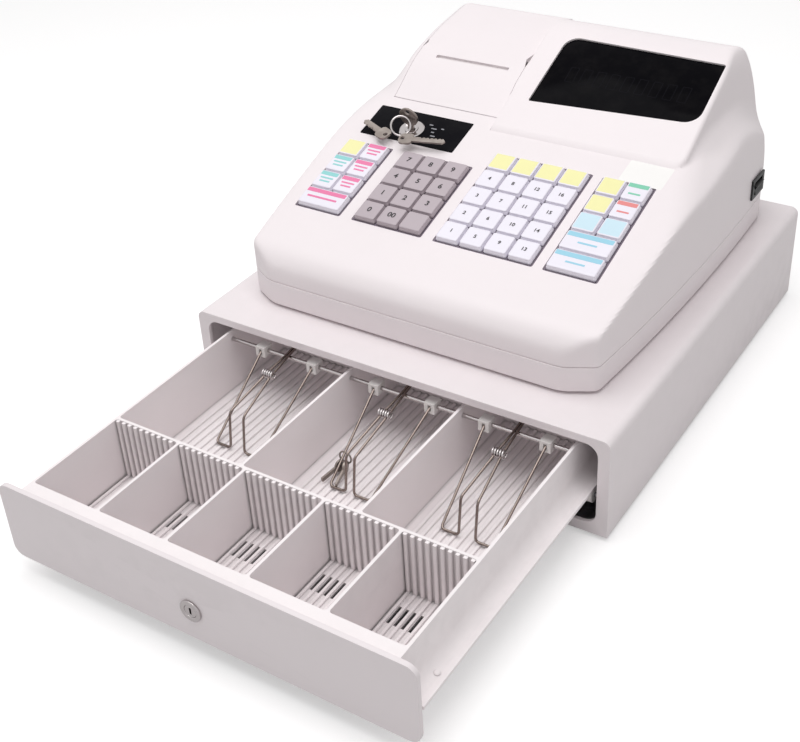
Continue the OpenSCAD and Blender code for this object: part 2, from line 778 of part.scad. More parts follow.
module lower_case() {
  color(white) at_reg() {
    difference() {
      translate([0, 0, reg_foot_h]) linear_extrude(seam_z - reg_foot_h) polygon(plan(0));
      translate([0, 0, reg_foot_h + case_t]) linear_extrude(seam_z) polygon(plan(case_t));
    }
    for (x = [20, 110]) for (y = [70, 190]) translate([x, y, reg_foot_h + case_t - eps])
      cylinder(h = 6, r = 3.5);
  }
}

module register_feet() {
  color(black) at_reg() for (x = [-1, 1]) for (y = [60, reg_rear - 30])
    translate([x * 112, y, 0]) cylinder(h = reg_foot_h, r = 8);
}

// Lid whose rear wraps over the ridge, with a disc at each end and a knuckle in the middle for its pin
module printer_cover() {
  notch_y = 262;
  x1 = cover_x1 - ride;
  middle = (cover_x0 + x1) / 2;
  color(white) at_reg() difference() {
    union() {
      difference() {
        intersection() {
          along_x(cover_x0, x1) polygon(cover_profile(0));
          union() {
            box([cover_x0 - 1, cover_y0 + ride, deck(cover_y0) - 1], [cover_x1, hinge_y, hinge_z + 30]);
            box([cover_x0 - 1, hinge_y - eps, hinge_z - skirt], [cover_x1, reg_rear + 1, hinge_z + 30]);
          }
        }
        along_x(cover_x0 - 1, cover_x1 + 1) polygon(cover_profile(cover_t));
      }
      for (x = [cover_x0, x1 - disc_t]) rod_x(x, x + disc_t, hinge_y, hinge_z, ridge_r - 1);
      rod_x(middle - 6, middle + 6, hinge_y, hinge_z, ridge_r - 1);
    }
    rod_x(cover_x0 - 1, cover_x1 + 1, hinge_y, hinge_z, pin_r + run);
    translate([(cover_x0 + cover_x1) / 2 + 2.5 - paper_slot / 2, 249, 117]) rotate([28, 0, 0])
      translate([0, -paper_slot_w / 2, -8]) cube([paper_slot, paper_slot_w, 16]);
    for (x = [cover_x0, x1]) translate([x, notch_y, 0])
      rotate([0, 0, 45]) translate([-4, -4, 60]) cube([8, 8, 80]);
  }
}

// Two side plates joined by two cross plates, with the spindle of the paper roll and the cover's pin
module printer_frame() {
  floor_in = reg_foot_h + case_t;
  color(steel) at_reg() {
    for (x = [frame_x0, frame_x1 - side_plate_t]) difference() {
      along_x(x, x + side_plate_t) polygon([[232, floor_in], [310, floor_in], [310, roll_z + 14],
        [hinge_y + 4, hinge_z - 4], [hinge_y + 4, hinge_z + 4], [hinge_y - 6, hinge_z + 3],
        [296, roll_z + 22], [262, platen_z + 4], [251, platen_z + 8], [236, platen_z + 2],
        [232, platen_z - 14]]);
      rod_x(x - 1, x + side_plate_t + 1, platen_y, platen_z, shaft_r + run);
    }
    box([frame_x0 + eps, 236, roll_z - roll_r - 8], [frame_x1 - eps, 309, roll_z - roll_r - 6]);
    rod_x(frame_x0 + eps, frame_x1 - eps, roll_y, roll_z, spindle_r - run);
    rod_x(cover_x0 - 0.2, cover_x1 - run, hinge_y, hinge_z, pin_r);
  }
}

module print_head() {
  head_y = platen_y - platen_r - ride;
  color(black) at_reg() box([frame_x0 + side_plate_t, head_y - 4, platen_z - 18],
    [frame_x1 - side_plate_t, head_y, platen_z + 3]);
}

module platen_roller() {
  color(black) at_reg() {
    rod_x(frame_x0 + side_plate_t + 1, frame_x1 - side_plate_t - 1, platen_y, platen_z, platen_r);
    rod_x(frame_x0 - 0.8, frame_x1 + 0.8, platen_y, platen_z, shaft_r);
  }
}

module paper_roll() {
  width = cover_x1 - cover_x0 - 16;
  x0 = (cover_x0 + cover_x1 - width) / 2;
  color([0.97, 0.97, 0.96]) at_reg() difference() {
    rod_x(x0, x0 + width, roll_y, roll_z, roll_r);
    rod_x(x0 - 1, x0 + width + 1, roll_y, roll_z, spindle_r);
  }
}

module display_window() {
  color(black) on_face() translate([0, 0, -window_t - window_sink])
    linear_extrude(window_t) window_outline(0);
}

// Main board on the lower case, and the display tubes on a board against the display's face
module circuit_boards() {
  z = reg_foot_h + case_t + 6;
  color([0.1, 0.38, 0.2]) {
    on_face() {
      translate([0, 0, -case_t - 6.2]) linear_extrude(6) translate([-12, 42]) square([130, 42]);
      translate([0, 0, -case_t - 8]) linear_extrude(1.8) translate([-14, 36]) square([134, 58]);
    }
    at_reg() {
      box([10, 60, z], [120, 200, z + 1.6]);
      for (x = [30, 60, 90]) box([x, 90, z + 1.6 - eps], [x + 18, 130, z + 5]);
    }
  }
}

module mode_panel() {
  color(black) on_deck() difference() {
    translate([panel_x0, panel_v0, -panel_t]) cube([panel_x1 - panel_x0, panel_v1 - panel_v0, panel_t + 0.3]);
    translate([mode_x, mode_v, -5]) cylinder(h = 10, r = mode_r + seat);
  }
}

module at_mode() {
  on_deck() translate([mode_x, mode_v, 0]) children();
}

mode_lip = 1.8;

module mode_lock() {
  color(chrome) at_mode() difference() {
    union() {
      translate([0, 0, -20]) cylinder(h = 20 + mode_lip, r = mode_r);
      translate([0, 0, 0.3]) cylinder(h = mode_lip - 0.3, r = mode_r + 2);
    }
    translate([0, 0, -21]) cylinder(h = 30, r = mode_plug_r + run);
  }
}

module mode_plug() {
  color(chrome) at_mode() difference() {
    translate([0, 0, -20]) cylinder(h = 20 + mode_lip, r = mode_plug_r);
    translate([-3.5, -0.9, -16]) cube([7, 1.8, 30]);
  }
}

// A key in the plane of X and Y: a round bow with a hole, and a blade along -Y
module key_outline(bow_r, blade) {
  difference() {
    union() {
      circle(r = bow_r);
      translate([-2.6, -bow_r - blade]) square([5.2, bow_r + blade]);
    }
    translate([0, bow_r - 3.4]) circle(r = 2);
  }
}

module mode_key() {
  color(chrome) at_mode() translate([0, 0, 13]) rotate([90, 0, 0])
    linear_extrude(1.6, center = true) key_outline(8, 18);
}

// Ring through the key's bow with two spare keys that lie above the panel
module mode_key_ring() {
  color(chrome) at_mode() {
    translate([-6.1, 0, 11.5]) rotate([0, -45, 0])
      rotate_extrude() translate([7.6, 0]) circle(r = 0.7, $fn = 16);
    translate([-15.4, -5, 6.4]) rotate([0, 0, -112]) linear_extrude(1.6) key_outline(7.5, 15);
    translate([-3, -12.6, 9.6]) rotate([0, 0, 80]) linear_extrude(1.6) key_outline(7.5, 19);
  }
}

// Guide frame under the deck: a plate with a block in each key field and a well for each key
module key_frame() {
  color(grey) on_deck() difference() {
    union() {
      for (i = [0 : 3]) {
        field_box(i, rim_gap - seat, -frame_floor, -0.8);
        field_box(i, 3.5, -frame_floor, -case_t - 0.1);
      }
      translate([field_x[0] - 6, -5, -frame_floor - frame_plate])
        cube([field_x[3] + field_cols[3] * key_pitch_x + 6 - field_x[0] + 6,
          field_rows[2] * key_pitch_y + 8, frame_plate + eps]);
    }
    for (k = field_keys) translate([0, 0, -frame_floor]) linear_extrude(20) translate(k[0])
      square(k[1] + [2, 2] * well_gap, center = true);
    translate([mode_x, mode_v, -30]) cylinder(h = 30, r = mode_r + 1);
  }
}

// Centre of a key's cell that is w cells wide, in column c and row r of field i
function cell(i, c, r, w = 1) = [field_x[i] + (c + w / 2) * key_pitch_x, (r + 0.5) * key_pitch_y];
function skirt(w) = [key_w + (w - 1) * key_pitch_x, key_w];

// All keys as [centre, skirt size]
field_keys = concat(
  [for (c = [0, 1]) for (r = [1 : 3]) [cell(0, c, r), skirt(1)]], [[cell(0, 0, 0, 2), skirt(2)]],
  [for (c = [0 : 2]) for (r = [0 : 3]) [cell(1, c, r), skirt(1)]],
  [for (c = [0 : 3]) for (r = [0 : 4]) [cell(2, c, r), skirt(1)]],
  [for (c = [0, 1]) for (r = [2 : 4]) [cell(3, c, r), skirt(1)]],
  [for (r = [0, 1]) [cell(3, 0, r, 2), skirt(2)]]);

// Side outline of a key that is w wide at its skirt
module key_side(w) {
  top = w - key_w + key_top;
  polygon([[-w / 2, -key_skirt], [w / 2, -key_skirt], [w / 2, 0.2], [top / 2, key_up],
    [-top / 2, key_up], [-w / 2, 0.2]]);
}

module key(i, c, r, w = 1) {
  on_deck() translate(cell(i, c, r, w)) intersection() {
    along_y(-key_w / 2, key_w / 2) key_side(skirt(w)[0]);
    along_x(-skirt(w)[0] / 2, skirt(w)[0] / 2) key_side(key_w);
  }
}

module keys(i, columns, rows, tint) {
  color(tint) for (c = columns) for (r = rows) key(i, c, r);
}

module left_keys_outer() { keys(0, [0], [1 : 3], [0.6, 0.85, 0.85]); }
module left_keys_inner() { keys(0, [1], [1 : 3], [0.95, 0.75, 0.85]); }
module left_wide_key() { color([0.95, 0.75, 0.85]) key(0, 0, 0, 2); }
module number_keys_789() { keys(1, [0 : 2], [3], key_grey); }
module number_keys_456() { keys(1, [0 : 2], [2], key_grey); }
module number_keys_123() { keys(1, [0 : 2], [1], key_grey); }
module number_keys_0() { keys(1, [0 : 2], [0], key_grey); }
module department_keys_1() { keys(2, [0 : 3], [0], white); }
module department_keys_2() { keys(2, [0 : 3], [1], white); }
module department_keys_3() { keys(2, [0 : 3], [2], white); }
module department_keys_4() { keys(2, [0 : 3], [3], white); }
module department_keys_5() { keys(2, [0 : 3], [4], [0.95, 0.93, 0.6]); }
module right_keys_outer() { keys(3, [1], [2 : 4], [0.6, 0.85, 0.75]); }
module right_keys_inner() { keys(3, [0], [2 : 4], [0.95, 0.93, 0.6]); }
module right_wide_key_front() { color([0.6, 0.8, 0.92]) key(3, 0, 0, 2); }
module right_wide_key_rear() { color([0.6, 0.8, 0.92]) key(3, 0, 1, 2); }

module power_switch() {
  x1 = half_w(switch_y);
  color(black) at_reg() difference() {
    union() {
      box([x1 - switch_depth, switch_y - switch_len / 2, switch_z - switch_h / 2],
        [x1 + 0.5, switch_y + switch_len / 2, switch_z + switch_h / 2]);
      box([x1 + 0.4, switch_y - switch_len / 2 - 2, switch_z - switch_h / 2 - 2],
        [x1 + switch_bezel, switch_y + switch_len / 2 + 2, switch_z + switch_h / 2 + 2]);
    }
    box([x1 - switch_depth + 2, switch_y - rocker_len / 2 - ride, switch_z - rocker_h / 2 - 1.5],
      [x1 + 10, switch_y + rocker_len / 2 + ride, switch_z + rocker_h / 2 + 1.5]);
    at_rocker() rod_y(rocker_len / 2 + pivot_reach + ride, pivot_r + run);
  }
}

rocker_len = switch_len - 5;
rocker_h = switch_h - 5;
rocker_tilt = 8;
rocker_back = 6;
pivot_r = 1.4;
pivot_reach = 1.2;

// Frame of the rocker's pivot
module at_rocker() {
  translate([half_w(switch_y) - rocker_back, switch_y, switch_z]) children();
}

module rod_y(half, r) {
  translate([0, half, 0]) rotate([90, 0, 0]) cylinder(h = 2 * half, r = r);
}

module switch_rocker() {
  color([0.2, 0.2, 0.21]) at_reg() at_rocker() {
    rotate([0, rocker_tilt, 0]) along_y(-rocker_len / 2, rocker_len / 2)
      polygon([[-2, -2.4], [0, -3.4], [9.5, -rocker_h / 2], [8, 0],
               [9.5, rocker_h / 2], [0, 3.4], [-2, 2.4]]);
    rod_y(rocker_len / 2 + pivot_reach, pivot_r);
  }
}

cabinet_shell();
cabinet_base();
rubber_feet();
foot_screws();
slide_rails();
front_rollers();
latch_bracket();
latch_hook();
solenoid();
solenoid_plunger();
drawer_tray();
tray_flanges();
coin_floor();
drawer_front();
drawer_striker();
lock_barrel();
lock_plug();
lock_cam();
clip_axle();
bill_clip_left();
bill_clip_middle();
bill_clip_right();
clip_blocks_left();
clip_blocks_middle();
clip_blocks_right();
drawer_keys();
lower_case();
upper_case();
register_feet();
printer_cover();
printer_frame();
print_head();
platen_roller();
paper_roll();
display_window();
circuit_boards();
mode_panel();
mode_lock();
mode_plug();
mode_key();
mode_key_ring();
key_frame();
power_switch();
switch_rocker();
left_keys_outer();
left_keys_inner();
left_wide_key();
number_keys_789();
number_keys_456();
number_keys_123();
number_keys_0();
department_keys_1();
department_keys_2();
department_keys_3();
department_keys_4();
department_keys_5();
right_keys_outer();
right_keys_inner();
right_wide_key_front();
right_wide_key_rear();
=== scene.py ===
import math

import bmesh
import bpy
import numpy as np
from bpy.props import FloatProperty, FloatVectorProperty, PointerProperty
from bpy.types import Operator, Panel, PropertyGroup
from mathutils import Matrix, Vector


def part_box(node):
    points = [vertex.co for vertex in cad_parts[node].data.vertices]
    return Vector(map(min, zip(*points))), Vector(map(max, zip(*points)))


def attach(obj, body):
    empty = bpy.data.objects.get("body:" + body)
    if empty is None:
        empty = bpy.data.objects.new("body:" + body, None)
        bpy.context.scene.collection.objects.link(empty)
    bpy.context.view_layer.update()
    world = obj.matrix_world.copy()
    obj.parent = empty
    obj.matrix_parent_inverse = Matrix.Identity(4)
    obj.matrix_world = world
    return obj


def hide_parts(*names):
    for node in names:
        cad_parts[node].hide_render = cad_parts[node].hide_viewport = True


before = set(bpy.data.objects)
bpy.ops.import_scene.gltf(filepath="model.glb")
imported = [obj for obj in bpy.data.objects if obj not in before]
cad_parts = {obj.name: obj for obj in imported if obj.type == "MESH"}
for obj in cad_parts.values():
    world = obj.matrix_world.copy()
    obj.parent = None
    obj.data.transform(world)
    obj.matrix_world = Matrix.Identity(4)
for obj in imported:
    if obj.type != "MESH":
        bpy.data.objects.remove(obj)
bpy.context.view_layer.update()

bl_info = {
    "name": "Ticket Register",
    "version": (1, 0, 0),
    "blender": (4, 5, 0),
    "location": "3D View > Sidebar > Register",
    "description": "Dresses the packed ticket register and its cash drawer with finished pieces and materials",
    "category": "Object",
}

MM = 0.001
ROUND_SIDES = 48        # sides of a round bar
EDGE_STEPS = 3          # steps of a plate's rounded upper edge
BEND_STEPS = 6          # steps of a wire's bend
HALVINGS = 22           # halvings when a point is drawn onto a surface


def mm(*values):
    """Millimetres as metres."""
    return [v * MM for v in values]


# ---- Property helpers ----

def length(name, description, millimetres):
    return FloatProperty(name=name, description=description, default=millimetres * MM, unit="LENGTH")


def angle(name, description, degrees):
    return FloatProperty(name=name, description=description, default=math.radians(degrees), unit="ROTATION",
                         subtype="ANGLE")


def factor(name, description, default, high=1.0):
    return FloatProperty(name=name, description=description, default=default, min=0.0, max=high,
                         subtype="FACTOR")


def linear(*rgb):
    """Screen colour from 0 to 255 as the linear colour that Blender works in."""
    parts = [c / 255 for c in rgb]
    return tuple(c / 12.92 if c <= 0.04045 else ((c + 0.055) / 1.055) ** 2.4 for c in parts)


def colour(name, description, *rgb):
    return FloatVectorProperty(name=name, description=description, default=linear(*rgb), size=3, min=0.0,
                               max=1.0, subtype="COLOR")


class RegisterSizes(PropertyGroup):
    case_wall: length("Case wall", "Thickness of the register's case", 2.5)
    seam: length("Case seam", "Height of the seam between the lower and upper case above the cabinet", 21)
    seam_groove: length("Seam groove", "Height of the groove between the lower and upper case", 0.8)
    deck_slope: angle("Deck slope", "Slope of the keyboard deck", 16.3)
    face_slope: angle("Display slope", "Slope of the display's face", 26)
    side_fillet: length("Hump fillet", "Width of the sweep between the display's side and the shoulder", 12)
    hump_edge: length("Hump edge", "Rounding between the display's face and its right side", 2.5)
    corner_round: length("Corner rounding", "Width of the rounding along the case's corners", 3)
    shoulder_round: length("Shoulder rounding", "Width of the rounding along the deck's sides", 7)
    cover_gap: length("Cover gap", "Gap round the printer cover", 0.3)
    key_pitch_x: length("Key pitch across", "Distance between key columns", 19)
    key_pitch_y: length("Key pitch up", "Distance between key rows", 18.95)
    key_width: length("Key width", "Width of a key at its skirt", 17.4)
    key_flare: length("Key flare", "Width that the cap adds to the skirt above the deck", 0.4)
    key_top: length("Key top", "Width of a key's top", 16.2)
    key_rise: length("Key height", "Height of the key tops above the deck", 3.8)
    key_dish: length("Key dish", "Depth of the hollow in a key's top", 0.12)
    figure_height: length("Figure height", "Height of the figures on the number keys", 4.6)
    small_figure: length("Small figure height", "Height of the figures on the department keys", 3.2)


class DrawerSizes(PropertyGroup):
    wire: length("Clip wire", "Radius of the clip wire", 0.9)
    wire_bend: length("Clip bend", "Inner radius of the clip wire's bends", 3.2)
    coin_rib: length("Coin rib pitch", "Distance between the ribs of a coin compartment", 5.1)
    bill_rib: length("Bill rib pitch", "Distance between the ribs of a bill compartment's floor", 6)
    rib_height: length("Rib height", "Height of the ribs on the floors", 1.4)
    wall_rib: length("Wall rib height", "Height of the ribs on the coin compartments' walls", 2.3)
    tray_edge: length("Tray edge", "Rounding of the tray's edges", 0.7)
    steel_edge: length("Steel edge", "Rounding of the sheet steel's edges", 0.35)


class Colours(PropertyGroup):
    case: colour("Case", "Moulded case of the register", 240, 232, 234)
    cabinet: colour("Cabinet", "Painted steel of the cabinet and the drawer's front", 238, 230, 232)
    tray: colour("Tray", "Moulded tray of the drawer", 250, 243, 244)
    nylon: colour("Nylon", "Clip blocks and rollers", 236, 232, 230)
    black: colour("Black plastic", "Switch and print head", 24, 24, 26)
    window: colour("Window", "Smoked display window", 10, 9, 13)
    ghost: colour("Ghost digits", "Faint digit frames behind the window", 22, 21, 26)
    panel: colour("Panel", "Black panel round the mode lock", 14, 13, 18)
    marks: colour("Marks", "Light marks on the panel", 150, 150, 156)
    steel: colour("Steel", "Plated steel", 176, 176, 180)
    chrome: colour("Chrome", "Chromed wire and locks", 196, 190, 190)
    spring: colour("Spring steel", "Wire of the bill clips", 138, 126, 120)
    brass: colour("Key metal", "Nickelled keys", 150, 140, 134)
    rubber: colour("Rubber", "Feet and platen", 30, 30, 31)
    paper: colour("Paper", "Paper roll and sticker", 246, 244, 242)
    board: colour("Circuit board", "Solder mask of the boards", 28, 92, 56)
    copper: colour("Coil", "Wound copper of the solenoid", 150, 84, 40)
    figures: colour("Figures", "Figures on the keys", 46, 42, 46)
    # Painted shade: the frame is given the dark tone of the shaded gaps between the keys.
    key_gap: colour("Key frame", "Frame seen between the keys", 120, 108, 122)
    key_white: colour("White keys", "Caps of all keys but the number keys", 240, 236, 246)
    key_grey: colour("Grey keys", "Number keys", 186, 174, 180)
    key_yellow: colour("Yellow labels", "Yellow labels", 244, 240, 178)
    key_pink: colour("Pink labels", "Pink labels", 236, 128, 172)
    key_teal: colour("Teal labels", "Teal labels", 148, 212, 212)
    key_green: colour("Green labels", "Green label", 130, 206, 176)
    key_red: colour("Red labels", "Red label", 232, 140, 140)
    key_blue: colour("Blue labels", "Blue labels", 158, 212, 232)
    key_pale: colour("Pale labels", "Pale blue labels", 206, 232, 244)


class StageSettings(PropertyGroup):
    lens: FloatProperty(name="Lens", description="Focal length of the camera", default=58.76, unit="CAMERA")
    sky: factor("Sky", "Strength of the even light from all round", 0.5, 4.0)
    top_power: FloatProperty(name="Top light", description="Power of the large light above", default=10.2,
                             unit="POWER")
    floor: colour("Floor", "Colour of the floor", 228, 227, 227)
    floor_glow: factor("Floor glow", "Light that the floor adds for the camera alone", 0.4)


def sizes():
    return bpy.context.scene.register_sizes


def drawer_sizes():
    return bpy.context.scene.drawer_sizes


def colours():
    return bpy.context.scene.register_colours


# ---- Places on the object ----

CABINET_LOW, CABINET_HIGH = (Vector(p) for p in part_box("cabinet_shell"))
REGISTER = Vector((-3 * MM, CABINET_LOW.y, CABINET_HIGH.z))

# In the register's own frame, whose origin is REGISTER.
DECK_Y, DECK_Z = mm(100, 60.5)
FIELD_Y, FACE_Y, COVER_Y, REAR_Y = mm(84.3, 196, 212, 340)
COVER_LEFT, COVER_RIGHT = mm(-121, -27)
HINGE = Vector(mm(0, 325.1, 119.65))
RIDGE, SKIRT, DISC = mm(14, 5.5, 1.2)
BACKWARDS = Matrix(((1, 0, 0, 0), (0, 0, 1, 0), (0, 1, 0, 0), (0, 0, 0, 1)))    # Y and Z change places


def deck_height(y):
    return DECK_Z + (y - DECK_Y) * math.tan(sizes().deck_slope)


def deck_frame(x=0.0, up=0.0, out=0.0):
    """Frame on the keyboard deck: X across, Y up the slope, Z away from it."""
    origin = Matrix.Translation(REGISTER + Vector((0, FIELD_Y, deck_height(FIELD_Y))))
    return origin @ Matrix.Rotation(sizes().deck_slope, 4, "X") @ Matrix.Translation((x, up, out))


def face_frame():
    """Frame on the display's face, from a point a little above its foot."""
    slope = sizes().face_slope
    foot = Vector((0, FACE_Y + 4 * MM, deck_height(FACE_Y) + 1 * MM + 4 * MM * math.tan(slope)))
    return Matrix.Translation(REGISTER + foot) @ Matrix.Rotation(slope, 4, "X")


def register_point(x, y, z):
    """Frame without turn at a point of the register, given in millimetres."""
    return Matrix.Translation(REGISTER + Vector((x, y, z)) * MM)


# ---- Mesh helpers ----

def add_object(name, mesh):
    piece = bpy.data.objects.new(name, mesh)
    bpy.context.scene.collection.objects.link(piece)
    return piece


def add_mesh(name, points, faces):
    mesh = bpy.data.meshes.new(name)
    mesh.from_pydata([tuple(p) for p in points], [], faces)
    mesh.validate()
    return add_object(name, mesh)


def smooth(piece, degrees=30):
    mesh = piece.data
    mesh.shade_smooth()
    mesh.set_sharp_from_angle(angle=math.radians(degrees))


def place(piece, body, look, nodes=()):
    """Gives a finished piece its body, finish and slot, and the nodes that it stands for."""
    piece.data.materials.clear()
    piece.data.materials.append(finish(look))
    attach(piece, body)
    if nodes:
        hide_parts(*nodes)
    return piece


def apply_modifiers(piece):
    view = bpy.context.evaluated_depsgraph_get()
    mesh = bpy.data.meshes.new_from_object(piece.evaluated_get(view))
    piece.modifiers.clear()
    piece.data = mesh


def combine(piece, tool, operation):
    """Cuts a closed tool out of the piece, or joins it on, and removes the tool."""
    change = piece.modifiers.new("Shape", "BOOLEAN")
    change.solver = "MANIFOLD"
    change.operation = operation
    change.object = tool
    apply_modifiers(piece)
    bpy.data.objects.remove(tool)


def cut(piece, tool):
    combine(piece, tool, "DIFFERENCE")


def join_on(piece, tool):
    combine(piece, tool, "UNION")


def bevelled(piece, width, segments=2, degrees=30):
    edge = piece.modifiers.new("Edge", "BEVEL")
    edge.width = width
    edge.segments = segments
    edge.limit_method = "ANGLE"
    edge.angle_limit = math.radians(degrees)


def ring_loft(rings, closed_ends=True):
    """Points and faces of a skin over rings that have the same number of points."""
    count = len(rings[0])
    points = [p for ring in rings for p in ring]
    faces = []
    for i in range(len(rings) - 1):
        for k in range(count):
            a, b = i * count + k, i * count + (k + 1) % count
            faces.append((a, b, b + count, a + count))
    if closed_ends:
        faces.append(tuple(range(count - 1, -1, -1)))
        faces.append(tuple(range(len(points) - count, len(points))))
    return points, faces


def gather(parts):
    """Points and faces of several parts as one part."""
    points, faces = [], []
    for part_points, part_faces in parts:
        start = len(points)
        points += part_points
        faces += [tuple(v + start for v in face) for face in part_faces]
    return points, faces


def merged(name, pieces):
    """One piece made of several, which are removed."""
    shape = bmesh.new()
    for piece in pieces:
        shape.from_mesh(piece.data)
        bpy.data.objects.remove(piece)
    joined = bpy.data.meshes.new(name)
    shape.to_mesh(joined)
    shape.free()
    return add_object(name, joined)


def circle(radius, sides):
    """Points round the origin, anticlockwise from X."""
    turns = [math.tau * k / sides for k in range(sides)]
    return [Vector((radius * math.cos(turn), radius * math.sin(turn))) for turn in turns]


def rounded_outline(corners, radii, steps=5):
    """Closed outline with each corner rounded by its radius."""
    outline = []
    for i, (x, y) in enumerate(corners):
        here = Vector((x, y))
        radius = radii[i]
        if radius <= 0:
            outline.append(here)
            continue
        before = (Vector(corners[i - 1]) - here).normalized()
        after = (Vector(corners[(i + 1) % len(corners)]) - here).normalized()
        half = before.angle(after) / 2
        centre = here + (before + after).normalized() * (radius / math.sin(half))
        start = here + before * (radius / math.tan(half)) - centre
        end = here + after * (radius / math.tan(half)) - centre
        turn = start.angle_signed(end)
        for k in range(steps + 1):
            part = -turn * k / steps
            spun = Matrix.Rotation(part, 2) @ start
            outline.append(centre + spun)
    return outline


def rectangle(x0, y0, x1, y1, radius, steps=5):
    return rounded_outline([(x0, y0), (x1, y0), (x1, y1), (x0, y1)], [radius] * 4, steps)


def shrink(outline, distance):
    """Outline moved inwards; it runs anticlockwise."""
    moved = []
    for i, p in enumerate(outline):
        before = (p - outline[i - 1]).normalized()
        after = (outline[(i + 1) % len(outline)] - p).normalized()
        inward = Vector((-before.y - after.y, before.x + after.x)).normalized()
        spread = max(0.5, inward.dot(Vector((-after.y, after.x))))
        moved.append(p + inward * (distance / spread))
    return moved


def plate(name, outline, low, high, frame_matrix=Matrix(), edge=0.0):
    """Flat plate over an outline, with its upper edge rounded."""
    rings = [[(p.x, p.y, low) for p in outline]]
    for k in range(EDGE_STEPS + 1 if edge else 1):
        turn = math.pi / 2 * k / EDGE_STEPS if edge else 0
        inset = edge * (1 - math.cos(turn))
        height = high - edge * (1 - math.sin(turn)) if edge else high
        rings.append([(p.x, p.y, height) for p in shrink(outline, inset)])
    points, faces = ring_loft(rings)
    return add_mesh(name, [frame_matrix @ Vector(p) for p in points], faces)


def block(name, low, high, frame_matrix=Matrix()):
    (x0, y0, z0), (x1, y1, z1) = low, high
    outline = [Vector(corner) for corner in ((x0, y0), (x1, y0), (x1, y1), (x0, y1))]
    return plate(name, outline, z0, z1, frame_matrix)


def rod(name, start, end, radius):
    """Round bar between two points."""
    start, end = Vector(start), Vector(end)
    turn = (end - start).to_track_quat("Z", "Y").to_matrix().to_4x4()
    return plate(name, circle(radius, ROUND_SIDES), 0, (end - start).length, Matrix.Translation(start) @ turn)


def turned(name, profile, frame_matrix=Matrix(), sides=64):
    """Solid turned about Z from (radius, height) pairs in millimetres that run from its bottom to its top."""
    rings = [[(p.x, p.y, z * MM) for p in circle(r * MM, sides)] for r, z in profile]
    points, faces = ring_loft(rings)
    piece = add_mesh(name, [frame_matrix @ Vector(p) for p in points], faces)
    smooth(piece)
    return piece


def softened(node, name, width, segments, degrees):
    """Copy of a CAD node with its edges rounded."""
    piece = add_object(name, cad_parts[node].data.copy())
    shape = bmesh.new()
    shape.from_mesh(piece.data)
    bmesh.ops.remove_doubles(shape, verts=shape.verts, dist=1e-6)
    bmesh.ops.dissolve_limit(shape, angle_limit=math.radians(1), verts=shape.verts, edges=shape.edges)
    shape.to_mesh(piece.data)
    shape.free()
    smooth(piece)
    bevelled(piece, width, segments, degrees)
    normals = piece.modifiers.new("Normals", "WEIGHTED_NORMAL")
    normals.keep_sharp = True
    return piece


def dress(node, name, width, body, look, segments=2, degrees=30):
    """Copy of a CAD node with rounded edges and a finish, which stands for it."""
    return place(softened(node, name, width, segments, degrees), body, look, [node])


def tube(name, corners, radius, bend):
    """Round wire along corners, with each bend rounded."""
    path = [Vector(corners[0])]
    for before, here, after in zip(corners, corners[1:], corners[2:]):
        here = Vector(here)
        back, ahead = Vector(before) - here, Vector(after) - here
        reach = min(bend, back.length * 0.45, ahead.length * 0.45)
        a, b = here + back.normalized() * reach, here + ahead.normalized() * reach
        for k in range(BEND_STEPS + 1):
            t = k / BEND_STEPS
            path.append(a * (1 - t) ** 2 + here * 2 * t * (1 - t) + b * t * t)
    path.append(Vector(corners[-1]))
    return wire(name, path, radius)


def wire(name, path, radius, cyclic=False):
    """Round wire along a path of points."""
    curve = bpy.data.curves.new(name, "CURVE")
    curve.dimensions = "3D"
    curve.bevel_depth = radius
    curve.bevel_resolution = 4
    curve.use_fill_caps = True
    spline = curve.splines.new("POLY")
    spline.points.add(len(path) - 1)
    for point, p in zip(spline.points, path):
        point.co = (*p, 1)
    spline.use_cyclic_u = cyclic
    spline.use_smooth = True
    return add_object(name, curve)


# ---- Materials ----

class Graph:
    """Short way to add nodes to a node tree and to link them."""

    def __init__(self, tree):
        self.tree = tree

    def add(self, kind, inputs=None, **settings):
        node = self.tree.nodes.new(kind)
        for key, value in settings.items():
            setattr(node, key, value)
        for key, value in (inputs or {}).items():
            if isinstance(value, bpy.types.NodeSocket):
                self.tree.links.new(value, node.inputs[key])
            else:
                node.inputs[key].default_value = value
        return node

    def mix(self, mask, first, second):
        node = self.tree.nodes.new("ShaderNodeMix")
        node.data_type = "RGBA"
        for key, value in ((0, mask), (6, first), (7, second)):
            if isinstance(value, bpy.types.NodeSocket):
                self.tree.links.new(value, node.inputs[key])
            else:
                node.inputs[key].default_value = (*value, 1) if key else value
        return node.outputs[2]

    def range(self, value, low, high, start=0.0, end=1.0):
        return self.add("ShaderNodeMapRange", {0: value, 1: start, 2: end, 3: low, 4: high}).outputs[0]

    def math(self, operation, first, second):
        return self.add("ShaderNodeMath", {0: first, 1: second}, operation=operation).outputs[0]

    def noise(self, vector, scale, detail, roughness=0.5):
        inputs = {"Vector": vector, "Scale": scale, "Detail": detail, "Roughness": roughness}
        return self.add("ShaderNodeTexNoise", inputs).outputs[0]


def group_tree(name, inputs, outputs, build):
    """Shader node group with number sockets, built once."""
    tree = bpy.data.node_groups.get(name)
    if tree:
        return tree
    tree = bpy.data.node_groups.new(name, "ShaderNodeTree")
    for socket, default in inputs:
        entry = tree.interface.new_socket(name=socket, in_out="INPUT", socket_type="NodeSocketFloat")
        entry.default_value = default
    for socket in outputs:
        tree.interface.new_socket(name=socket, in_out="OUTPUT", socket_type="NodeSocketFloat")
    graph = Graph(tree)
    source = graph.add("NodeGroupInput").outputs
    graph.add("NodeGroupOutput", build(graph, source))
    return tree


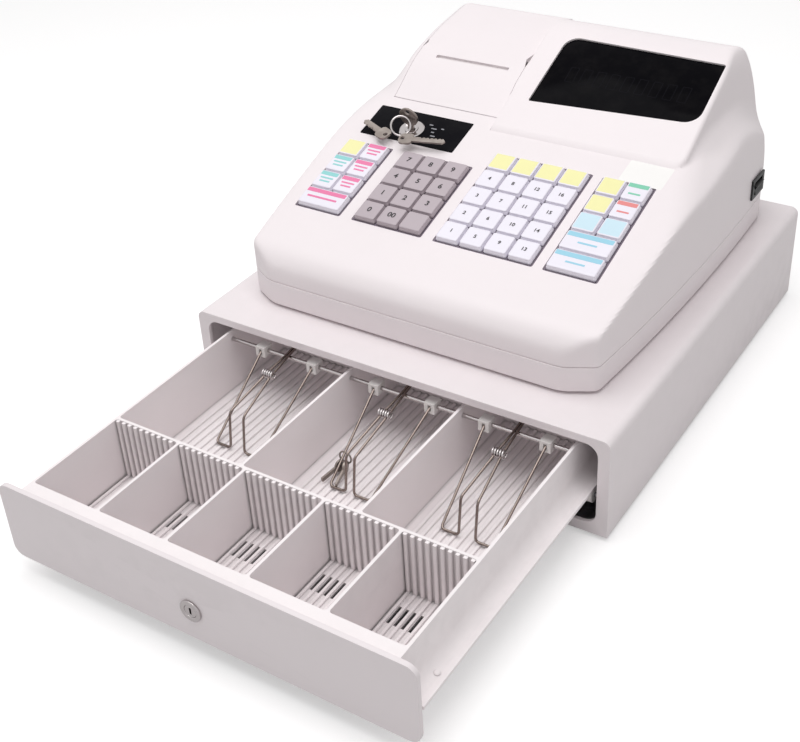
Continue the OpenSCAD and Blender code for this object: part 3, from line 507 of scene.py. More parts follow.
def build_grain(graph, source):
    where = graph.add("ShaderNodeTexCoord").outputs["Object"]
    fine = graph.noise(where, source["Grain Scale"], 3.0)
    broad = graph.noise(where, source["Cloud Scale"], 4.0, 0.6)
    return {"Height": fine, "Cloud": graph.range(broad, 0.0, 1.0, 0.32, 0.68)}


def build_wear(graph, source):
    where = graph.add("ShaderNodeTexCoord").outputs["Object"]
    bend = graph.add("ShaderNodeNewGeometry").outputs["Pointiness"]
    edge = graph.range(bend, 0.0, 1.0, 0.52, 0.6)
    chips = graph.noise(where, source["Scale"], 6.0)
    mask = graph.math("MULTIPLY", edge, graph.range(chips, 0.0, 1.0, 0.42, 0.62))
    return {"Mask": graph.math("MULTIPLY", mask, source["Amount"])}


def build_dust(graph, source):
    where = graph.add("ShaderNodeTexCoord").outputs["Object"]
    normal = graph.add("ShaderNodeNewGeometry").outputs["Normal"]
    up = graph.add("ShaderNodeSeparateXYZ", {0: normal}).outputs[2]
    lying = graph.range(up, 0.0, 1.0, 0.35, 1.0)
    specks = graph.noise(where, source["Scale"], 8.0, 0.7)
    mask = graph.math("MULTIPLY", lying, graph.range(specks, 0.0, 1.0, 0.45, 0.75))
    return {"Mask": graph.math("MULTIPLY", mask, source["Amount"])}


def build_brushing(graph, source):
    where = graph.add("ShaderNodeTexCoord").outputs["Object"]
    stretch = graph.add("ShaderNodeMapping", {"Vector": where, "Scale": (0.05, 1.0, 1.0)}).outputs[0]
    return {"Lines": graph.range(graph.noise(stretch, source["Scale"], 4.0), 0.0, 1.0, 0.3, 0.7)}


def grain_group():
    return group_tree("Moulded grain", [("Grain Scale", 1800.0), ("Cloud Scale", 14.0)], ["Height", "Cloud"],
                      build_grain)


def wear_group():
    return group_tree("Edge wear", [("Scale", 90.0), ("Amount", 0.5)], ["Mask"], build_wear)


def dust_group():
    return group_tree("Settled dust", [("Scale", 60.0), ("Amount", 0.3)], ["Mask"], build_dust)


def brushing_group():
    return group_tree("Brushed lines", [("Scale", 900.0)], ["Lines"], build_brushing)


def new_material(name):
    material = bpy.data.materials.new(name)
    material.use_nodes = True
    material.node_tree.nodes.clear()
    graph = Graph(material.node_tree)
    shader = graph.add("ShaderNodeBsdfPrincipled")
    graph.add("ShaderNodeOutputMaterial", {"Surface": shader.outputs[0]})
    return material, graph, shader


def darker(rgb, share):
    return tuple(c * share for c in rgb)


def surface(name, rgb, rough, *, grain=1800.0, depth=0.00002, tint=0.93, wear=0.0, worn=None, dust=0.0,
            metallic=0.0, specular=0.5, coat=0.0, brushed=False, painted_shade=1.0):
    """Finished surface whose colour, roughness and bump change with grain, wear, dust and brushing; painted
    shade can darken its hollows.
    """
    material, graph, shader = new_material(name)
    detail = graph.add("ShaderNodeGroup", node_tree=grain_group())
    detail.inputs["Grain Scale"].default_value = grain
    tone = graph.mix(detail.outputs["Cloud"], darker(rgb, tint), rgb)
    for share, group, over in ((dust, dust_group, DUST), (wear, wear_group, worn or darker(rgb, 0.8))):
        if share:
            layer = graph.add("ShaderNodeGroup", node_tree=group())
            layer.inputs["Amount"].default_value = share
            tone = graph.mix(layer.outputs["Mask"], tone, over)
    # Painted shade: an ambient occlusion mask darkens hollows and the gaps between ribs towards a darker copy
    # of the colour.
    if painted_shade < 1.0:
        hollow = graph.add("ShaderNodeAmbientOcclusion", {"Distance": PAINTED_SHADE_REACH}, samples=16).outputs["AO"]
        tone = graph.mix(graph.range(hollow, 0.0, 1.0, 0.3, 0.9), darker(rgb, painted_shade), tone)
    graph.tree.links.new(tone, shader.inputs["Base Color"])
    spread = graph.range(detail.outputs["Cloud"], max(0.02, rough * 0.85), min(1.0, rough * 1.12))
    height = detail.outputs["Height"]
    if brushed:
        lines = graph.add("ShaderNodeGroup", node_tree=brushing_group())
        height = lines.outputs["Lines"]
        spread = graph.range(height, rough * 0.7, min(1.0, rough * 1.4))
    graph.tree.links.new(spread, shader.inputs["Roughness"])
    bump = graph.add("ShaderNodeBump", {"Height": height, "Distance": depth, "Strength": 0.6})
    graph.tree.links.new(bump.outputs[0], shader.inputs["Normal"])
    for socket, value in (("Metallic", metallic), ("Specular IOR Level", specular), ("Coat Weight", coat),
                          ("Coat Roughness", 0.08), ("IOR", 1.45)):
        shader.inputs[socket].default_value = value
    return material


DUST = linear(196, 188, 182)
# Reach of the painted shade in hollows, in metres.
PAINTED_SHADE_REACH = 0.003

# Each finish as the name of its colour and what surface() takes.
FINISHES = {
    "Case plastic": ("case", dict(rough=0.42, grain=2200.0, depth=0.000025, tint=0.985, wear=0.12, dust=0.03)),
    "Cabinet paint": ("cabinet", dict(rough=0.38, grain=1500.0, depth=0.00004, tint=0.985, wear=0.2,
                                      worn=linear(214, 207, 208), dust=0.03)),
    # The tray's colour carries painted shade in its hollows and between its ribs.
    "Tray plastic": ("tray", dict(rough=0.5, grain=1900.0, depth=0.00003, tint=0.97, wear=0.2, dust=0.03,
                                  painted_shade=0.55)),
    "Frame plastic": ("key_gap", dict(rough=0.6, tint=0.9, dust=0.05)),
    "Nylon": ("nylon", dict(rough=0.4, depth=0.000012, tint=0.95, wear=0.2)),
    "Black plastic": ("black", dict(rough=0.4, tint=0.8, wear=0.4, worn=linear(70, 70, 74), dust=0.12)),
    "Window acrylic": ("window", dict(rough=0.12, depth=0.000002, tint=0.8, specular=0.02, dust=0.01)),
    "Ghost print": ("ghost", dict(rough=0.3, depth=0.000004, tint=0.9, specular=0.02)),
    "Panel print": ("panel", dict(rough=0.35, depth=0.00001, tint=0.85, specular=0.03, dust=0.01)),
    "Plated steel": ("steel", dict(rough=0.32, depth=0.000008, tint=0.85, metallic=1.0, brushed=True, wear=0.3,
                                   worn=linear(210, 210, 214))),
    "Chrome": ("chrome", dict(rough=0.14, depth=0.000004, tint=0.88, metallic=1.0, grain=900.0)),
    "Spring steel": ("spring", dict(rough=0.24, depth=0.000004, tint=0.85, metallic=1.0)),
    "Key metal": ("brass", dict(rough=0.38, depth=0.00001, tint=0.8, metallic=0.85, grain=700.0, wear=0.4,
                                worn=linear(190, 182, 176))),
    "Rubber": ("rubber", dict(rough=0.75, depth=0.00005, tint=0.75, dust=0.35)),
    "Paper": ("paper", dict(rough=0.85, grain=3500.0, tint=0.97)),
    "Circuit board": ("board", dict(rough=0.35, grain=700.0, depth=0.00003, tint=0.7, coat=0.3)),
    "Copper coil": ("copper", dict(rough=0.35, grain=2500.0, depth=0.00006, tint=0.75, metallic=1.0)),
    "Figure ink": ("figures", dict(rough=0.5, depth=0.00001, tint=0.8)),
    "Mark ink": ("marks", dict(rough=0.5, depth=0.00001, tint=0.85)),
}
CAP_VALUES = dict(rough=0.35, grain=2600.0, depth=0.000012, tint=0.97, wear=0.1, dust=0.02)
PRINT_VALUES = dict(rough=0.5, grain=2600.0, depth=0.000006, tint=0.95, dust=0.02)
for tone_name in ("white", "grey", "yellow", "pink", "teal", "green", "red", "blue", "pale"):
    FINISHES["Key " + tone_name] = ("key_" + tone_name, CAP_VALUES)
    FINISHES["Print " + tone_name] = ("key_" + tone_name, PRINT_VALUES)


def finish(look):
    """Material of a finish, made when it is first asked for."""
    material = bpy.data.materials.get(look)
    if material:
        return material
    colour_of_it, values = FINISHES[look]
    return surface(look, tuple(getattr(colours(), colour_of_it)), **values)


def refinish(look, *nodes):
    """Gives CAD nodes that stay as they are a finish."""
    for name in nodes:
        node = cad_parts[name]
        if not node.material_slots:
            raise RuntimeError(name + " has no material slot")
        for slot in node.material_slots:
            slot.material = finish(look)


# ---- The register's outer shape, as a signed distance in its own frame ----

def blend_max(a, b, width):
    return np.maximum(a, b) + np.maximum(width - np.abs(a - b), 0) ** 2 / (4 * width)


def blend_min(a, b, width):
    return -blend_max(-a, -b, width)


def round_max(a, b, radius):
    corner = np.hypot(np.maximum(a + radius, 0), np.maximum(b + radius, 0))
    return np.minimum(np.maximum(a, b), -radius) + corner


def side_outline(start, heading, stretches):
    """Tangent planes of an outline of straight stretches and right-hand arcs, each (length, radius, turn)."""
    points, normals = [], []
    here = np.array(start, float)
    for reach, radius, turn in stretches:
        along = np.array([math.cos(heading), math.sin(heading)])
        points.append(here)
        normals.append([-along[1], along[0]])
        here = here + reach * along
        centre = here + radius * np.array([along[1], -along[0]])
        steps = max(2, round(math.degrees(turn) / 2))
        for k in range(1, steps + 1):
            angle_now = heading - turn * k / steps
            outward = np.array([-math.sin(angle_now), math.cos(angle_now)])
            points.append(centre + radius * outward)
            normals.append(outward)
        heading -= turn
        here = points[-1]
    return np.array(points), np.array(normals)


def outside(outline, y, z):
    points, normals = outline
    reach = np.full(y.shape, -1.0)
    for p, n in zip(points, normals):
        np.maximum(reach, (y - p[0]) * n[0] + (z - p[1]) * n[1], out=reach)
    return reach


def ramp(value, start, reach):
    """0 up to a start, then evenly up to 1."""
    return np.clip((value - start) / reach, 0, 1)


def shares_inside(inside, count):
    """Greatest shares of the way from 0 to 1 that still lie inside, found by halving for all points at once."""
    low, high = np.zeros(count), np.ones(count)
    for _ in range(HALVINGS):
        middle = (low + high) / 2
        within = inside(middle)
        low, high = np.where(within, middle, low), np.where(within, high, middle)
    return low


class CaseShape:
    """Distance outside the register's case, rounded and swept as one surface."""

    # Plan: half width where it's widest, bow of the sides, front and its chamfered corners, rear corners.
    HALF_WIDTH, WIDEST_Y, SIDE_BOW = mm(147.5, 235, 4140)
    FRONT_Y, CHAMFER_X, REAR_CORNER = mm(31.5, 117, 26)
    CHAMFER_NORMAL = (0.47, 0.883)
    # Shoulders: they fall to both sides of a line that climbs to the rear and bends down there; the left
    # one is lifted.
    SHOULDER_X, SHOULDER_SLOPE = 149 * MM, math.radians(38)
    LINE_Y, LINE_Z, LINE_SLOPE = 160 * MM, 73 * MM, math.radians(3.6)
    BEND_Y, BEND_RADIUS = mm(265, 190)
    LIFT, LIFT_START, LIFT_REACH = mm(8, 70, 90)
    # Humps: right side of the display hump, left side of the printer hump and how they meet.
    DISPLAY_X, DISPLAY_Y, DISPLAY_Z, DISPLAY_CORNER = mm(124.5, 230, 110, 8)
    DISPLAY_SPLAY, DISPLAY_LEAN = 0.03, 0.12
    PRINTER_X, PRINTER_Z, PRINTER_CORNER = mm(-132.5, 84, 10)
    PRINTER_NORMAL = (0.995, 0.0995)
    # Sweep between the humps and the shoulders, which widens outwards and to the rear.
    SWEEP, SWEEP_X, SWEEP_X_REACH, SWEEP_Y, SWEEP_Y_REACH = mm(1, 112, 20, 202, 40)
    # Lean of the right side towards the top, behind the deck.
    LEAN_Z, LEAN_RADIUS, LEAN_START, LEAN_REACH = mm(42, 350, 190, 90)

    def __init__(self):
        s = sizes()
        slope, face = s.deck_slope, s.face_slope
        self.body = side_outline((30.5 * MM, s.seam - 20 * MM), math.pi / 2,
                                 [(20.5 * MM, 25 * MM, math.pi / 2 - slope),
                                  (180.25 * MM, 50 * MM, slope),
                                  (70 * MM, 30 * MM, math.pi / 2 - 0.06),
                                  (10 * MM, 1, 0.001)])
        self.display = side_outline((FACE_Y, deck_height(FACE_Y) + 2 * MM), face,
                                    [(103 * MM, 36 * MM, math.pi / 2 + face)])
        self.printer = side_outline((COVER_Y, deck_height(COVER_Y)), math.radians(35),
                                    [(25.5 * MM, 100 * MM, math.radians(20)),
                                     (14 * MM, 130 * MM, math.radians(7)),
                                     (30 * MM, 14 * MM, math.radians(98))])
        self.fillet = s.side_fillet
        self.shoulder = s.shoulder_round
        self.hump_edge = s.hump_edge
        self.corner = s.corner_round

    def plan(self, x, y):
        width = np.abs(x)
        side = width - (self.HALF_WIDTH - (y - self.WIDEST_Y) ** 2 / self.SIDE_BOW)
        across, along = self.CHAMFER_NORMAL
        chamfer = across * (width - self.CHAMFER_X) - along * (y - self.FRONT_Y)
        edge = blend_max(blend_max(side, chamfer, self.corner), self.FRONT_Y - y, self.corner)
        return round_max(edge, y - REAR_Y, self.REAR_CORNER)

    def shoulders(self, x, y, z):
        rise = (z - self.LINE_Z) * math.cos(self.LINE_SLOPE) - (y - self.LINE_Y) * math.sin(self.LINE_SLOPE)
        rise = rise + np.maximum(y - self.BEND_Y, 0) ** 2 / self.BEND_RADIUS
        rise = rise - self.LIFT * ramp(y, self.LIFT_START, self.LIFT_REACH) * (x < 0)
        away = np.abs(x) - self.SHOULDER_X
        return away * math.sin(self.SHOULDER_SLOPE) + rise * math.cos(self.SHOULDER_SLOPE)

    def display_hump(self, x, y, z):
        right = x - self.DISPLAY_X - self.DISPLAY_SPLAY * (y - self.DISPLAY_Y)
        right = right + self.DISPLAY_LEAN * (z - self.DISPLAY_Z)
        sides = round_max(right, FACE_Y + 3 * MM - y, self.DISPLAY_CORNER)
        hump = round_max(outside(self.display, y, z), sides, self.hump_edge)
        return blend_max(hump, COVER_RIGHT - x, 1.2 * MM)

    def printer_hump(self, x, y, z):
        across, up = self.PRINTER_NORMAL
        left = (self.PRINTER_X - x) * across + (z - self.PRINTER_Z) * up
        hump = round_max(outside(self.printer, y, z), left, self.PRINTER_CORNER)
        return blend_max(hump, x - COVER_RIGHT - 1 * MM, 0.5 * MM)

    def distance(self, points):
        x, y, z = points[:, 0], points[:, 1], points[:, 2]
        body = blend_max(outside(self.body, y, z), self.shoulders(x, y, z), self.shoulder)
        humps = np.minimum(self.display_hump(x, y, z), self.printer_hump(x, y, z))
        outwards = ramp(np.abs(x), self.SWEEP_X, self.SWEEP_X_REACH)
        outwards = outwards * outwards * (3 - 2 * outwards) * ramp(y, self.SWEEP_Y, self.SWEEP_Y_REACH)
        whole = blend_min(body, humps, self.SWEEP + (self.fillet - self.SWEEP) * outwards)
        lean = np.maximum(z - self.LEAN_Z, 0) ** 2 / self.LEAN_RADIUS
        lean = lean * ramp(y, self.LEAN_START, self.LEAN_REACH)
        return blend_max(whole, self.plan(np.abs(x) + lean * (x > 0), y), self.corner)

    def anchors(self, points):
        """Points inside the case from which each cage point is drawn onto the surface."""
        inner = points.copy()
        inner[:, 0] = np.clip(points[:, 0], -98 * MM, 98 * MM)
        inner[:, 1] = np.clip(points[:, 1], 72 * MM, 296 * MM)
        y = inner[:, 1]
        roof = deck_height(DECK_Y) + (y - DECK_Y) * math.tan(sizes().deck_slope) - 24 * MM
        raised = ramp(y, 215 * MM, 60 * MM)
        roof = roof * (1 - raised) + 98 * MM * raised
        inner[:, 2] = np.minimum(points[:, 2], roof)
        return inner

    def settle(self, points, anchors, level):
        """Points where the lines from the anchors to the cage points reach a distance."""
        way = points - anchors
        share = shares_inside(lambda t: self.distance(anchors + way * t[:, None]) < level, len(points))
        return anchors + way * share[:, None]


def case_cage(low):
    """Points, faces and lowest rim of a grid over the top and the four sides of a box round the case."""
    columns = list(np.arange(-160, -28, 2.5)) + [-27.6, -27.0, -26.4] + list(np.arange(-25, 161, 2.5))
    rows = list(np.arange(18, 355, 2.5))
    levels = [low / MM] + list(np.arange(low / MM + 2, 151, 2.5))
    nx, ny, nz = len(columns) - 1, len(rows) - 1, len(levels) - 1
    index, points, faces = {}, [], []

    def corner(i, j, k):
        if (i, j, k) not in index:
            index[i, j, k] = len(points)
            points.append((columns[i] * MM, rows[j] * MM, levels[k] * MM))
        return index[i, j, k]

    def face(*corners):
        faces.append(tuple(corner(*place_in_grid) for place_in_grid in corners))

    for i in range(nx):
        for j in range(ny):
            face((i, j, nz), (i + 1, j, nz), (i + 1, j + 1, nz), (i, j + 1, nz))
    for k in range(nz):
        for i in range(nx):
            face((i, 0, k), (i + 1, 0, k), (i + 1, 0, k + 1), (i, 0, k + 1))
            face((i + 1, ny, k), (i, ny, k), (i, ny, k + 1), (i + 1, ny, k + 1))
        for j in range(ny):
            face((nx, j, k), (nx, j + 1, k), (nx, j + 1, k + 1), (nx, j, k + 1))
            face((0, j + 1, k), (0, j, k), (0, j, k + 1), (0, j + 1, k + 1))
    rim = ([corner(i, 0, 0) for i in range(nx)] + [corner(nx, j, 0) for j in range(ny)] +
           [corner(i, ny, 0) for i in range(nx, 0, -1)] + [corner(0, j, 0) for j in range(ny, 0, -1)])
    return np.array(points), faces, rim


# ---- Case ----

# Millimetres on the deck, from its middle line and the front of the key fields. The window lies on the
# display's face.
FIELD_LEFT = (-127.4, -77, -8.3, 77.5)
FIELD_COLUMNS = (2, 3, 4, 2)
FIELD_ROWS = (4, 4, 5, 5)
FIELD_GAP = 1.2
PANEL = (-125, 86.7, -42.5, 121.4)
PANEL_DEPTH = 1.2
MODE_LOCK = (-86, 101)
MODE_LOCK_RADIUS = 8.2
WINDOW = [(-10, 30), (120.5, 38), (120, 95.5), (-7, 98)]
WINDOW_CORNERS = [1.2, 12, 1.5, 11]
WINDOW_DEPTH = 2.3

# How far cutters reach into the case and stand out of it.
CUT_IN, CUT_OUT = mm(12, 8)

# Millimetres in the register's own frame.
SWITCH_Y, SWITCH_Z, SWITCH_HALF_LENGTH, SWITCH_HALF_HEIGHT = 301.5, 37, 10.2, 6.45
VENTS, VENT_FIRST, VENT_PITCH, VENT_HALF = 12, 24, 7, 1.3
VENT_LOW, VENT_HIGH = 48, 74
PAPER_SLOT, PAPER_SLOT_TILT, PAPER_SLOT_HALF = (-71.5, 249, 117), 28, 32.5


def register_rod(name, x0, x1, radius):
    """Round bar along the hinge of the printer cover."""
    start, end = (REGISTER + Vector((x, HINGE.y, HINGE.z)) for x in (x0, x1))
    return rod(name, start, end, radius)


def window_outline(grow):
    """Outline of the display window, grown by some millimetres."""
    corners = [mm(*corner) for corner in WINDOW]
    return shrink(rounded_outline(corners, mm(*WINDOW_CORNERS), 7), -grow * MM)


def lock_cutter(reach, above):
    """Cutter for the hole of the mode lock."""
    lock = deck_frame(*mm(*MODE_LOCK))
    return rod("cutter", lock @ Vector((0, 0, -reach)), lock @ Vector((0, 0, above)), MODE_LOCK_RADIUS * MM)


def case_skin(name):
    """Shell of the upper case before its openings are cut."""
    shape = CaseShape()
    s = sizes()
    points, faces, rim = case_cage(s.seam + s.seam_groove / 2)
    anchors = shape.anchors(points)
    outer = shape.settle(points, anchors, 0.0)
    inner = shape.settle(points, anchors, -s.case_wall)
    count = len(points)
    skin = faces + [tuple(v + count for v in reversed(face)) for face in faces]
    skin += [(b, a, a + count, b + count) for a, b in zip(rim, rim[1:] + rim[:1])]
    return add_mesh(name, np.concatenate([outer, inner]) + np.array(REGISTER), skin)


def cover_region(name, left, right, front, low, rear_low):
    """Space that the printer cover takes, from its front edge to the foot of its skirt at the rear."""
    outline = [(front, low), (HINGE.y, low), (HINGE.y, rear_low), (345 * MM, rear_low), (345 * MM, 160 * MM),
               (front, 160 * MM)]
    rings = [[REGISTER + Vector((x, y, z)) for y, z in outline] for x in (left, right)]
    points, faces = ring_loft(rings)
    return add_mesh(name, points, faces)


class RegisterUpperCase(Operator):
    """Case of the register with its display and printer humps, openings and recesses"""
    bl_idname = "register.upper_case"
    bl_label = "Upper case"

    def execute(self, context):
        case = case_skin("upper_case_shell")
        self.deck_openings(case)
        cut(case, plate("cutter", window_outline(0.25), -WINDOW_DEPTH * MM, 12 * MM, face_frame()))
        cut(case, plate("cutter", window_outline(-2.5), -CUT_IN, CUT_OUT, face_frame()))
        self.cover_opening(case)
        cut(case, block("cutter", mm(100, SWITCH_Y - SWITCH_HALF_LENGTH, SWITCH_Z - SWITCH_HALF_HEIGHT),
                        mm(200, SWITCH_Y + SWITCH_HALF_LENGTH, SWITCH_Z + SWITCH_HALF_HEIGHT),
                        Matrix.Translation(REGISTER)))
        for k in range(VENTS):
            x = VENT_FIRST + VENT_PITCH * k
            vent = rectangle(*mm(x - VENT_HALF, VENT_LOW, x + VENT_HALF, VENT_HIGH, 1.2), 4)
            cut(case, plate("cutter", vent, 300 * MM, 350 * MM, Matrix.Translation(REGISTER) @ BACKWARDS))
        smooth(case, 28)
        place(case, "cabinet", "Case plastic", ["upper_case"])
        return {"FINISHED"}

    def deck_openings(self, case):
        across, up = sizes().key_pitch_x / MM, sizes().key_pitch_y / MM
        for left, columns, rows in zip(FIELD_LEFT, FIELD_COLUMNS, FIELD_ROWS):
            outline = rectangle(*mm(left - FIELD_GAP, -FIELD_GAP, left + FIELD_GAP + columns * across,
                                    FIELD_GAP + rows * up, 1.5))
            cut(case, plate("cutter", outline, -CUT_IN, CUT_OUT, deck_frame()))
        x0, v0, x1, v1 = PANEL
        cut(case, plate("cutter", rectangle(*mm(x0 - 0.2, v0 - 0.2, x1 + 0.2, v1 + 0.2, 1)), -PANEL_DEPTH * MM,
                        10 * MM, deck_frame()))
        cut(case, lock_cutter(CUT_IN, CUT_OUT))

    def cover_opening(self, case):
        gap = sizes().cover_gap
        pocket = math.hypot(RIDGE, SKIRT) + gap
        cut(case, cover_region("cutter", COVER_LEFT - gap, COVER_RIGHT, COVER_Y - 0.4 * MM, 73 * MM,
                               HINGE.z - math.sqrt(pocket ** 2 - RIDGE ** 2)))
        cut(case, register_rod("cutter", COVER_LEFT - gap, COVER_RIGHT, pocket))


class RegisterPrinterCover(Operator):
    """Hinged cover over the printer with its paper slot and finger notches"""
    bl_idname = "register.printer_cover"
    bl_label = "Printer cover"

    def execute(self, context):
        s = sizes()
        right = COVER_RIGHT - s.cover_gap
        cover = case_skin("printer_cover_lid")
        combine(cover, cover_region("region", COVER_LEFT, right, COVER_Y + s.cover_gap, HINGE.z - 28 * MM,
                                    HINGE.z - SKIRT), "INTERSECT")
        middle = (COVER_LEFT + right) / 2
        discs = ((COVER_LEFT, COVER_LEFT + DISC), (right - DISC, right))
        for x0, x1 in (*discs, (middle - 6 * MM, middle + 6 * MM)):
            join_on(cover, register_rod("disc", x0, x1, RIDGE - MM))
        cut(cover, register_rod("cutter", COVER_LEFT - MM, COVER_RIGHT + MM, 2.05 * MM))
        self.paper_slot(cover)
        for x, reach, wide in ((COVER_LEFT, 5 * MM, 1.8 * MM), (right, 9 * MM, 3 * MM)):
            notch = Matrix.Translation(REGISTER + Vector((x, 262 * MM, 0)))
            outline = [Vector(corner) for corner in ((0, -reach), (wide, 0), (0, reach), (-wide, 0))]
            cut(cover, plate("cutter", outline, 60 * MM, 140 * MM, notch))
        smooth(cover, 28)
        place(cover, "printer_cover", "Case plastic", ["printer_cover"])
        return {"FINISHED"}

    def paper_slot(self, cover):
        where = register_point(*PAPER_SLOT) @ Matrix.Rotation(math.radians(PAPER_SLOT_TILT), 4, "X")
        half = PAPER_SLOT_HALF
        cut(cover, plate("cutter", rectangle(*mm(-half, -1.7, half, 1.7, 0.9)), -8 * MM, 8 * MM, where))
        outline = rectangle(*mm(-half - 0.5, -0.9, half + 0.5, 3, 0.4))
        bar = plate("paper_tear_bar", outline, -3.4 * MM, -2.2 * MM, where, 0.2 * MM)
        place(bar, "printer_cover", "Tray plastic")


class RegisterLowerCase(Operator):
    """Lower case with its seam groove, and the register's feet"""
    bl_idname = "register.lower_case"
    bl_label = "Lower case"

    def execute(self, context):
        foot, seam, half = 2 * MM, sizes().seam, sizes().seam_groove / 2
        inset, round_off = 2.5 * MM, 1.2 * MM
        points, faces = self.loft([(inset, foot + inset), (inset, seam - half), (0.3 * MM, seam - half),
                                   (0.0, seam - half - 0.3 * MM), (0.0, foot + round_off),
                                   (0.35 * MM, foot + 0.35 * MM), (round_off, foot)])
        case = add_mesh("lower_case_shell", points, [tuple(reversed(face)) for face in faces])
        smooth(case, 35)
        place(case, "cabinet", "Case plastic", ["lower_case"])
        low, high = seam - 2 * MM, seam + 2 * MM
        lip = add_mesh("case_seam_lip", *self.loft([(1.0 * MM, low), (1.0 * MM, high), (2.2 * MM, high),
                                                    (2.2 * MM, low)], False))
        smooth(lip)
        place(lip, "cabinet", "Case plastic")
        dress("register_feet", "register_foot_pads", 0.5 * MM, "cabinet", "Rubber")
        return {"FINISHED"}

    def loft(self, levels, closed_ends=True):
        """Skin over outlines of the case's plan, each given by its inset and its height."""
        shape, count = CaseShape(), 360
        middle = np.array((0, 190 * MM))
        cage = np.array([middle + 0.26 * np.array(p) for p in circle(1, count)])
        rings = []
        for inset, height in levels:
            def inside(t):
                p = middle + (cage - middle) * t[:, None]
                return shape.plan(p[:, 0], p[:, 1]) < -inset

            ring = middle + (cage - middle) * shares_inside(inside, count)[:, None]
            rings.append([REGISTER + Vector((x, y, height)) for x, y in ring])
        return ring_loft(rings, closed_ends)


class RegisterDisplay(Operator):
    """Smoked display window with faint frames of its digits"""
    bl_idname = "register.display"
    bl_label = "Display window"

    def execute(self, context):
        window = plate("display_window_pane", window_outline(0), -WINDOW_DEPTH * MM, -0.25 * MM, face_frame(),
                       0.4 * MM)
        smooth(window, 40)
        place(window, "cabinet", "Window acrylic", ["display_window"])
        digits = []
        for k in range(9):
            x = 8 + 11.2 * k
            outline = rectangle(*mm(x, 55, x + 7, 70, 0.6), 2)
            inner = shrink(outline, 0.5 * MM)
            rings = [[face_frame() @ Vector((p.x, p.y, z * MM)) for p in ring]
                     for ring, z in ((outline, -0.6), (outline, -0.24), (inner, -0.24), (inner, -0.6))]
            digits.append(add_mesh("digit", *ring_loft(rings, False)))
        place(merged("display_digit_frames", digits), "cabinet", "Ghost print")
        return {"FINISHED"}


class RegisterSticker(Operator):
    """Blank white sticker on the deck beside the keys"""
    bl_idname = "register.sticker"
    bl_label = "Sticker"

    def execute(self, context):
        where = deck_frame(*mm(87, 96.4)) @ Matrix.Rotation(math.radians(-2), 4, "Z")
        piece = plate("deck_sticker", rectangle(*mm(0, 0, 33, 22.5, 1.5)), -0.2 * MM, 0.12 * MM, where)
        smooth(piece, 40)
        place(piece, "cabinet", "Paper")
        return {"FINISHED"}


def flat_key(name, bow, blade, where, turn):
    """Small flat key with a pierced bow, its blade turned from the frame's X axis by some degrees."""
    here = where @ Matrix.Rotation(math.radians(turn), 4, "Z")
    high, rear, tooth, half = bow * 0.85, bow * 0.7, 3.2 * MM, 2.4 * MM
    outline = rounded_outline([(-bow, -high), (rear, -high), (rear, high), (-bow, high)],
                              [bow * 0.6, bow * 0.45, bow * 0.45, bow * 0.6])
    key = plate(name, outline, 0, 1.6 * MM, here)
    edge = [(bow * 0.5, -half), (bow + blade, -half), (bow + blade + 2 * MM, 0)]
    edge += [(bow + blade - k * tooth - j, half - rise) for k in range(int(blade / tooth))
             for j, rise in ((0.0, 0.0), (1.2 * MM, (0.7 + 0.5 * (k % 2)) * MM), (2.2 * MM, 0.0))]
    edge.append((bow * 0.5, half))
    join_on(key, plate("blade", [Vector(p) for p in edge], 0.1 * MM, 1.5 * MM, here))
    hole = -bow * 0.55
    cut(key, rod("cutter", here @ Vector((hole, 0, -MM)), here @ Vector((hole, 0, 3 * MM)), 1.7 * MM))
    smooth(key, 40)
    return key


# Marks beside the mode lock: millimetres across and up from the lock, and width.
MODE_MARKS = ((10.5, 9, 3.2), (14, 5.5, 4.6), (16, 1.5, 2.6), (17.5, -2.5, 4.0), (16.5, -7, 3.0), (22, 7, 2.4))


class RegisterModePanel(Operator):
    """Black panel with the mode lock, its key and the bunch of spare keys"""
    bl_idname = "register.mode_panel"
    bl_label = "Mode panel"

    def execute(self, context):
        panel = plate("mode_panel_plate", rectangle(*mm(*PANEL, 0.8)), -PANEL_DEPTH * MM, 0.35 * MM,
                      deck_frame(), 0.25 * MM)
        cut(panel, lock_cutter(5 * MM, 5 * MM))
        smooth(panel, 40)
        place(panel, "cabinet", "Panel print", ["mode_panel"])
        barrel = turned("mode_lock_barrel", [(5.1, -20), (8, -20), (8, 0.4), (10, 0.4), (10, 1.1), (9.3, 1.8),
                                             (6.2, 1.8), (5.1, 1.3), (5.1, -20)], deck_frame(*mm(*MODE_LOCK)))
        place(barrel, "cabinet", "Chrome", ["mode_lock"])
        dress("mode_plug", "mode_plug_finished", 0.3 * MM, "mode", "Chrome")
        dress("mode_key", "mode_key_finished", 0.3 * MM, "mode", "Key metal")
        self.bunch()
        for k, (x, v, wide) in enumerate(MODE_MARKS):
            mark = plate("mode_mark_%d" % (k + 1), rectangle(*mm(0, 0, wide, 1.1, 0.25)), 0.33 * MM, 0.4 * MM,
                         deck_frame(*mm(MODE_LOCK[0] + x, MODE_LOCK[1] + v)))
            place(mark, "cabinet", "Mark ink")
        return {"FINISHED"}

    def bunch(self):
        spare = flat_key("mode_spare_key_left", 6.6 * MM, 15 * MM, deck_frame(*mm(-101, 84.5, 6)), 158)
        place(spare, "mode", "Key metal", ["mode_key_ring"])
        spare = flat_key("mode_spare_key_right", 6.6 * MM, 22 * MM, deck_frame(*mm(-77.5, 82.5, 7.4)), 10)
        place(spare, "mode", "Key metal")
        centre = deck_frame(*mm(-88.6, 92.4, 10.5)) @ Vector()
        across, up = Vector((0.84, 0.54, -0.05)), Vector((-0.26, 0.48, 0.836))
        path = [centre + across * p.x + up * p.y for p in circle(7.4 * MM, 48)]
        place(wire("mode_key_loop", path, 0.8 * MM, True), "mode", "Chrome")


# ---- Keys ----

CAP_DETAIL = 4      # steps of a key cap's rounded corners
PRINT_INSET = 0.7   # millimetres from the edge of a key's top to what is printed on it


